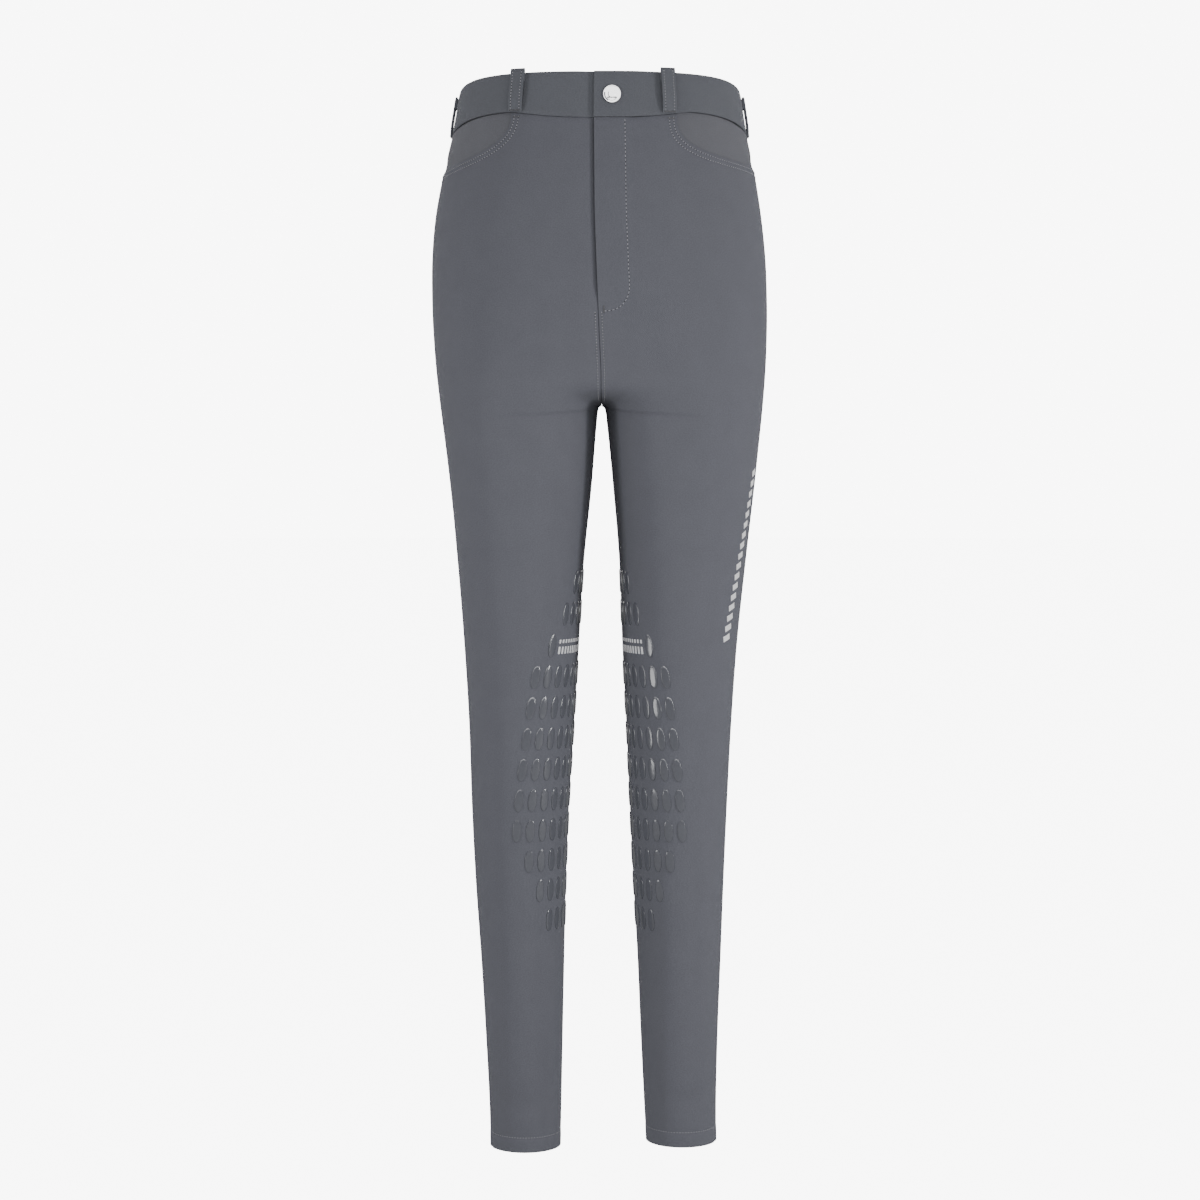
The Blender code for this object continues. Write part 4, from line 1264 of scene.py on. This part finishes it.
def set_on_band(piece, node, lift, inward=False):
    """Moves a pressed piece's mesh to the snap's place, its face along the band's outward direction."""
    points, out = skin(1, np.array((0.0,)), np.array((SNAP_AT,)), lift)
    turn = (Vector(out[0]) * (-1 if inward else 1)).to_track_quat("Z", "Y").to_matrix().to_4x4()
    piece.data.transform(Matrix.Translation(Vector(points[0])) @ turn)
    finish_piece(piece, "Polished snap", node, degrees=40)


# Painted shade on the cap: the width of its dark outer edge, and for the grooves the inner and outer share of
# the cap's radius and the first and last angle, in degrees, of their shadowed side
SNAP_SHADE_RIM = 0.8 * MM
SNAP_SHADED_GROOVES = ((0.72, 0.84, 165, 240), (0.37, 0.45, 150, 250))
SNAP_ROUNDS = (0.72, 0.64, 0.56, 0.45, 0.44, 0.38, 0.37, 0.28, 0.19, 0.10, 0.04)
SNAP_SUNK = (0.44, 0.38)
SNAP_DOME = 1.2 * MM
SNAP_SINK = 0.25 * MM

# The cap's rim and the stud's back: (inset, rise) of each ring, in mm
CAP_RIM = ((0, 0.45), (0.2, 0.22), (0.4, 0.1), (0.55, -0.1), (0.15, -0.5))
STUD_RINGS = ((0, 0.6), (0.5, 0.45), (1.2, 0.12), (1.0, -0.35), (0.8, 0))


def in_shade(centre):
    """True for the faces painted dark as shade: the cap's outer edge, and the side of its grooves that lies
    in shadow.
    """
    away, turn = centre.length, math.degrees(math.atan2(centre.y, centre.x)) % 360
    return away > CAP_RADIUS - SNAP_SHADE_RIM or any(
        low * CAP_RADIUS < away < high * CAP_RADIUS and first < turn < last
        for low, high, first, last in SNAP_SHADED_GROOVES
    )


class BREECHES_OT_snap(bpy.types.Operator):
    """Press the snap's cap and stud and set them in the waistband"""

    bl_idname = "breeches.snap"
    bl_label = "Snap"

    def execute(self, context):
        rises = [SNAP_DOME * (1 - (share / SNAP_ROUNDS[0]) ** 2) - SNAP_SINK * (share in SNAP_SUNK)
                 for share in SNAP_ROUNDS]
        steps = zip(-CAP_RADIUS * np.diff(SNAP_ROUNDS), np.diff(rises))
        rim = np.array(CAP_RIM) * MM
        ledge = (CAP_RADIUS * (1 - SNAP_ROUNDS[0]) - rim[:, 0].sum(), 0.02 * MM)
        cap = press_shape("snap_dome", CAP_RADIUS, [*rim, ledge, *steps])
        # Faces that get the dark metal: painted shade on the outer edge and on the shadowed side of the
        # grooves
        edge = [face.index for face in cap.data.polygons if in_shade(face.center.to_2d())]
        set_on_band(cap, "snap_cap", BAND_PROUD + FLY_RAISE + TOUCH)
        cap.data.materials.append(surface("Snap edge"))
        for index in edge:
            cap.data.polygons[index].material_index = 1
        stud = press_shape("snap_back", STUD_RADIUS, np.array(STUD_RINGS) * MM)
        set_on_band(stud, "snap_stud", BAND_PROUD - BAND_DIP - BAND_CLOTH - TOUCH, inward=True)
        return {"FINISHED"}


PAD_FOOT = 0.15 * MM
PAD_WALL = 0.66
PAD_CROWN = ((0.92, 0.24), (0.88, 0.07), (0.60, 0.03))


def pad_shape(high):
    """One grip pad on a flat: a pointed lens with rounded shoulders and a soft crown."""
    shape = disc(16, 1)
    for vertex in shape.data.vertices:
        turn = math.atan2(vertex.co.x, vertex.co.y)
        up = math.copysign(abs(math.cos(turn)) ** 0.85, math.cos(turn))
        vertex.co = (math.sin(turn) * PAD_WIDE / 2, up * PAD_TALL / 2, -PAD_FOOT)
    with editing(outward=True):
        raise_faces(PAD_FOOT + high * PAD_WALL)
        for share, rise in PAD_CROWN:
            raise_faces(high * rise)
            bpy.ops.transform.resize(value=(share, share, 1), center_override=(0, 0, 0))
    return shape


def pad_places():
    """Height and arc of every grip pad's middle."""
    return [
        (GRIP_TOP - GRIP_PITCH * number, (cell + 0.5) * GRIP_ACROSS)
        for number, count in enumerate(GRIP_FRONT) for cell in range(-min(count, GRIP_BACK_MOST), count)
        if number != GRIP_LABEL_ROW or cell >= GRIP_LABEL_CELLS
    ]


def laid_on(side, middles, on):
    """Places on a piece for copies of a flat shape (across, up, out), its middles at heights and arcs."""
    middles, tree = np.array(middles), surface_of(on)

    def places(shape):
        points, out = skin(side, *(middles.T[:, :, None] + shape.T[1::-1, None]))
        flat = settled_on(tree, points.reshape(-1, 3), out.reshape(-1, 3)).reshape(points.shape)
        return flat + shape[:, 2][:, None] * out

    return places


POCKET_ROWS_IN = (3.2 * MM, 7.0 * MM)
FLY_STITCH = 26.2 * MM
FLY_STITCH_LEAN = 4.2 * MM
FLY_BOLD = {"stitch": 1.3, "pitch": 1.35, "thread": 1.05}
FLY_STITCH_TURN = -168 * MM
FLY_STITCH_END = -190 * MM
SEAM_STITCH = 2.8 * MM
TACK_WIDE = 1.7 * MM
TACK_LONG = 6.5 * MM
SEAM_END = 1.5 * MM
CROTCH_END = 3 * MM


def pocket_runs():
    for word, side in SIDES:
        for lap in POCKET_ROWS_IN:
            heights, arcs = even_scoop(side, 90, lap)
            keep = (heights < seam_height(arcs) - 1.2 * MM) & (arcs < outseam(heights) - 2 * MM)
            yield side, heights[keep], arcs[keep], f"front_{word}"


def fly_runs():
    top, inner = float(seam_height(FLY_STITCH)) - SEAM_END, 3 * MM
    turn = np.linspace(0, math.pi / 2, 60)
    foot = FLY_STITCH_TURN + (FLY_STITCH_END - FLY_STITCH_TURN) * np.sin(turn[1:])
    bend = inner + (FLY_STITCH - inner) * np.cos(turn[1:]) ** 0.8
    heights = np.concatenate((np.linspace(top, FLY_STITCH_TURN, 60), foot))
    arcs = np.concatenate((np.linspace(FLY_STITCH - FLY_STITCH_LEAN, FLY_STITCH, 60), bend))
    yield +1, heights, arcs, "front_left"


def seam_runs():
    for word, side in SIDES:
        down = np.linspace(FLY_STITCH_END, CROTCH + CROTCH_END, 80)
        yield side, down, front_start(side, down) + SEAM_STITCH, f"front_{word}"
        seat = np.linspace(WAIST_SEAM - 2 * MM, CROTCH + CROTCH_END, 120)
        yield side, seat, back_end(seat) - SEAM_STITCH, f"back_{word}"
        level = np.full(240, HEM[side] + HEM_FOLD)
        here = level[0]
        start, middle, end = float(front_start(side, here)), float(outseam(here)), float(back_end(here))
        for first, last, part in ((start, middle, "front"), (middle, end, "back")):
            yield side, level, np.linspace(first + SEAM_END, last - SEAM_END, 240), f"{part}_{word}"


def tacks(settings):
    """Stitch ends and outward directions of the bar tacks: dense stitches side by side."""
    found, step = [], settings.thread * 0.75
    for side, z, arc, (up, aside), length in tack_places():
        spots = np.arange(-length / 2, length / 2, step)
        starts, ends = (
            (z + up * spots + aside * half, arc + aside * spots + up * half)
            for half in (-TACK_WIDE / 2, TACK_WIDE / 2)
        )
        found.append(row_on("front_left" if side > 0 else "front_right", side, starts, ends))
    for _, arc, over, stand in loop_places():
        middle, across = loop_frame(arc, over, stand, steps=240)
        up = unit(middle[12] - middle[4])
        out = np.cross(across, up)
        spots = np.arange(-LOOP_WIDTH / 2 + 1.2 * MM, LOOP_WIDTH / 2 - 1 * MM, step)[:, None]
        row, half = middle[8] + out * LOOP_CLOTH / 2 + spots * across, TACK_WIDE / 2 * up
        found.append((row - half, row + half, np.tile(out, (len(spots), 1))))
    return found


def tack_places():
    """Leg, height, arc, way (up, aside) and length of each bar tack on the fronts."""
    yield +1, FLY_STITCH_END + 1.5 * MM, 3.5 * MM, (1, 0), 6 * MM
    for _, side in SIDES:
        heights, arcs = even_scoop(side, 90, sum(POCKET_ROWS_IN) / 2)
        last = int(np.argmax(arcs > outseam(heights) - 4 * MM))
        yield side, float(heights[last]), float(arcs[last]), (1, 0), TACK_LONG
        first = int(np.argmax(heights < seam_height(arcs) - 2.5 * MM))
        yield side, float(heights[first]), float(arcs[first]), (0, 1), TACK_LONG


class BREECHES_OT_grip(bpy.types.Operator):
    """Print the silicone grip pads on the inner knees"""

    bl_idname = "breeches.grip"
    bl_label = "Grip pads"

    def execute(self, context):
        for word, side in SIDES:
            places = laid_on(side, pad_places(), f"front_{word}")
            pad = pad_shape(context.scene.breeches_trim.pad_high)
            join_copies(f"grip_pads_{word}", pad, places, "Grip silicone", side)
        return {"FINISHED"}


class BREECHES_OT_allowances(bpy.types.Operator):
    """Turn in the seam allowances behind the waist seam and the long seams"""

    bl_idname = "breeches.allowances"
    bl_label = "Seam allowances"

    def execute(self, context):
        waist_allowance()
        crotch = CROTCH + 1.5 * MM
        allowance("allowance_front", 1, np.linspace(UNDERLAP_END - 1 * MM, crotch, 50), lambda z: 0 * z)
        allowance("allowance_back", 1, np.linspace(WAIST_SEAM - 1 * MM, crotch, 90), whole_arc)
        for word, side in SIDES:
            leg = np.linspace(CROTCH - 1.5 * MM, HEM[side] + 0.2 * MM, 176)
            allowance(f"allowance_inside_{word}", side, leg, lambda z: table_at(INSEAM, z) * MM)
            hip = np.linspace(float(seam_height(outseam(WAIST_SEAM))) - 1 * MM, CROTCH, 76)
            line = np.concatenate((hip, leg))
            allowance(f"allowance_side_{word}", side, line, outseam, partial(under_pocket, side))
        return {"FINISHED"}


def loop_stitches(settings):
    """Stitch ends and outward directions of the two rows along each belt loop's outer face."""
    found = []
    for _, arc, over, stand in loop_places():
        middle, across = loop_frame(arc, over, stand, steps=240)
        last = int(np.argmax(middle[:, 2]))
        out = np.cross(across, unit(np.gradient(middle, axis=0)))[:last]
        middle = middle[:last]
        along = run_along(middle)
        count = int((along[-1] - 3 * MM) / settings.pitch)
        middles = 1.5 * MM + (np.arange(count) + 0.5) * settings.pitch

        def at(tip, line):
            places = middles + tip * settings.stitch
            return np.stack([np.interp(places, along, line[:, axis]) for axis in range(3)], axis=-1)

        for way in (-1, 1):
            row = middle + way * (LOOP_WIDTH / 2 - LOOP_STITCH_IN) * across
            row = row + out * (LOOP_CLOTH / 2 - LOOP_GROOVE)
            found.append((at(-0.5, row), at(0.5, row), at(0, out)))
    return found


class BREECHES_OT_topstitching(bpy.types.Operator):
    """Sew the visible stitches of the pockets, fly, seams, hems and belt loops"""

    bl_idname = "breeches.topstitching"
    bl_label = "Topstitching"

    def execute(self, context):
        settings = context.scene.breeches_trim
        bold = SimpleNamespace(**{name: share * getattr(settings, name) for name, share in FLY_BOLD.items()})
        sew("stitches_pockets", pocket_runs(), settings)
        sew("stitches_fly", fly_runs(), bold)
        sew("stitches_seams", seam_runs(), settings)
        finish_stitches("stitches_loops", loop_stitches(settings), "Thread", settings)
        finish_stitches("bar_tacks", tacks(settings), "Bar tack", settings, hole_shades=False)
        return {"FINISHED"}


BAR_WIDE = 10.5 * MM
BAR_HIGH = 5.0 * MM
BAR_SLANT = 3.0 * MM
BAR_THICK = 0.15 * MM
BAR_COUNT = 17
BAR_FROM = (-331 * MM, 157.0)
BAR_TO = (-479 * MM, 138.0)
TICK_COUNT = 13
TICK_PITCH = 4.5 * MM
TICK_WIDE = 2.4 * MM
TICK_ROWS = (("lower", -4.5 * MM, 6.5 * MM), ("upper", 3.5 * MM, 3.2 * MM))
TICK_START = 4 * MM


def bar_shape(wide, high, slant=0.0):
    """A thin slanted bar on a flat, with rounded corners."""
    deselect()
    bpy.ops.mesh.primitive_grid_add(x_subdivisions=4, y_subdivisions=3, size=1.0)
    shape = bpy.context.object
    for vertex in shape.data.vertices:
        x, y = vertex.co.x, vertex.co.y
        vertex.co = (x * wide, y * high + x * slant, BAR_THICK)
    with editing(outward=True):
        raise_faces(-1.6 * BAR_THICK)
    return shape


class BREECHES_OT_prints(bpy.types.Operator):
    """Print the plain reflective bars on the left thigh and the plain ticks at the inner knees"""

    bl_idname = "breeches.prints"
    bl_label = "Plain prints"

    def execute(self, context):
        heights, angles = np.linspace(BAR_FROM, BAR_TO, BAR_COUNT).T
        places = laid_on(+1, np.stack((heights, arc_at(angles, heights)), axis=-1), "front_left")
        join_copies("thigh_bars", bar_shape(BAR_WIDE, BAR_HIGH, BAR_SLANT), places, "Silver print")
        middle = GRIP_TOP - GRIP_PITCH * GRIP_LABEL_ROW
        for word, side in SIDES:
            for row, rise, high in TICK_ROWS:
                spots = [(middle + rise, TICK_START + TICK_PITCH * number) for number in range(TICK_COUNT)]
                places, tick = laid_on(side, spots, f"front_{word}"), bar_shape(TICK_WIDE, high)
                join_copies(f"knee_ticks_{row}_{word}", tick, places, "Silver print", side)
        return {"FINISHED"}


# Name, power setting, place, point it faces, and size of each light
LIGHTS = (
    ("Key", "key", (0.1, -1.3, -0.44), (0, 0, -0.44), (2.6, 0.35)),
    ("Edge strip", "strip", (1.4, -0.8, -0.42), (0, 0, -0.42), (0.2, 0.9)),
    ("Fill strip", "fill", (-1.3, -0.75, -0.42), (0, 0, -0.42), (0.3, 0.9)),
    ("Gloss card", "card", (-1.1, -0.54, -0.86), (0.05, -0.07, -0.5), (0.38, 0.2)),
)
FLOOR_RADIUS = 30
CAMERA_PLACE = (0.0, -2.3, -0.339)
CAMERA_LENS = 75.2
CAMERA_SENSOR = 36.0
CAMERA_SHIFT = -0.0315
CAMERA_TILT = math.radians(1.84)


def add_light(name, power, place, target, size):
    """A rectangular light that faces a point, out of the camera's sight."""
    light = bpy.data.lights.new(name, "AREA")
    light.shape, light.energy = "RECTANGLE", power
    light.size, light.size_y = size
    lamp = bpy.data.objects.new(name, light)
    lamp.location = place
    lamp.rotation_euler = (Vector(target) - Vector(place)).to_track_quat("-Z", "Y").to_euler()
    lamp.visible_camera = False
    lamp.visible_diffuse = name != "Gloss card"
    lamp.visible_glossy = name != "Fill strip"
    bpy.context.scene.collection.objects.link(lamp)


class BREECHES_OT_stage(bpy.types.Operator):
    """Set up the floor, the even light and the camera"""

    bl_idname = "breeches.stage"
    bl_label = "Stage"

    def execute(self, context):
        scene, stage = context.scene, context.scene.breeches_stage
        floor = disc(96, FLOOR_RADIUS, location=(0, 0, stage.floor))
        floor.name = "floor"
        floor.data.transform(floor.matrix_world)
        floor.matrix_world = Matrix()
        floor.data.materials.append(floor_paper(stage))
        floor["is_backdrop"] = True

        scene.world = bpy.data.worlds.new("Tent")
        scene.world.use_nodes = True
        tree = scene.world.node_tree
        way = add_node(tree, "ShaderNodeLightPath").outputs
        strength = calc(tree, "MULTIPLY_ADD", way["Is Camera Ray"], stage.backdrop, stage.sky)
        strength = calc(tree, "MULTIPLY_ADD", way["Is Glossy Ray"], stage.mirror, strength)
        feed(tree, tree.nodes["Background"], {"Color": (1, 1, 1, 1), "Strength": strength})
        for name, setting, place, target, size in LIGHTS:
            add_light(name, getattr(stage, setting), place, target, size)

        lens = bpy.data.cameras.new("Camera")
        lens.lens, lens.sensor_width, lens.shift_y = CAMERA_LENS, CAMERA_SENSOR, CAMERA_SHIFT
        scene.camera = bpy.data.objects.new("Camera", lens)
        scene.camera.location = CAMERA_PLACE
        scene.camera.rotation_euler = (math.pi / 2 - CAMERA_TILT, 0, 0)
        scene.collection.objects.link(scene.camera)
        return {"FINISHED"}


PIECES = (
    BREECHES_OT_fronts, BREECHES_OT_backs, BREECHES_OT_pockets, BREECHES_OT_waistband, BREECHES_OT_snap,
    BREECHES_OT_grip, BREECHES_OT_allowances, BREECHES_OT_topstitching, BREECHES_OT_prints,
    BREECHES_OT_stage,
)


class BREECHES_PT_panel(bpy.types.Panel):
    bl_label = "Riding breeches"
    bl_idname = "BREECHES_PT_panel"
    bl_space_type = "VIEW_3D"
    bl_region_type = "UI"
    bl_category = "Breeches"

    def draw(self, context):
        for settings in SETTINGS:
            group = getattr(context.scene, settings)
            box = self.layout.box()
            for name in group.bl_rna.properties.keys():
                if name not in ("rna_type", "name"):
                    box.prop(group, name)
        for piece in PIECES:
            self.layout.operator(piece.bl_idname)


SETTINGS = {
    "breeches_cloth": ClothSettings, "breeches_trim": TrimSettings, "breeches_stage": StageSettings,
}


def register():
    for name, group in SETTINGS.items():
        bpy.utils.register_class(group)
        setattr(bpy.types.Scene, name, bpy.props.PointerProperty(type=group))
    for made in (*PIECES, BREECHES_PT_panel):
        bpy.utils.register_class(made)


def unregister():
    for made in (BREECHES_PT_panel, *reversed(PIECES)):
        bpy.utils.unregister_class(made)
    for name, group in SETTINGS.items():
        delattr(bpy.types.Scene, name)
        bpy.utils.unregister_class(group)


def main():
    register()
    for piece in PIECES:
        group, name = piece.bl_idname.split(".")
        getattr(getattr(bpy.ops, group), name)()
    low, high = ([list(corner) for corner in box] for box in (CAD_BOX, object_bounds()))


if __name__ == "__main__":
    main()
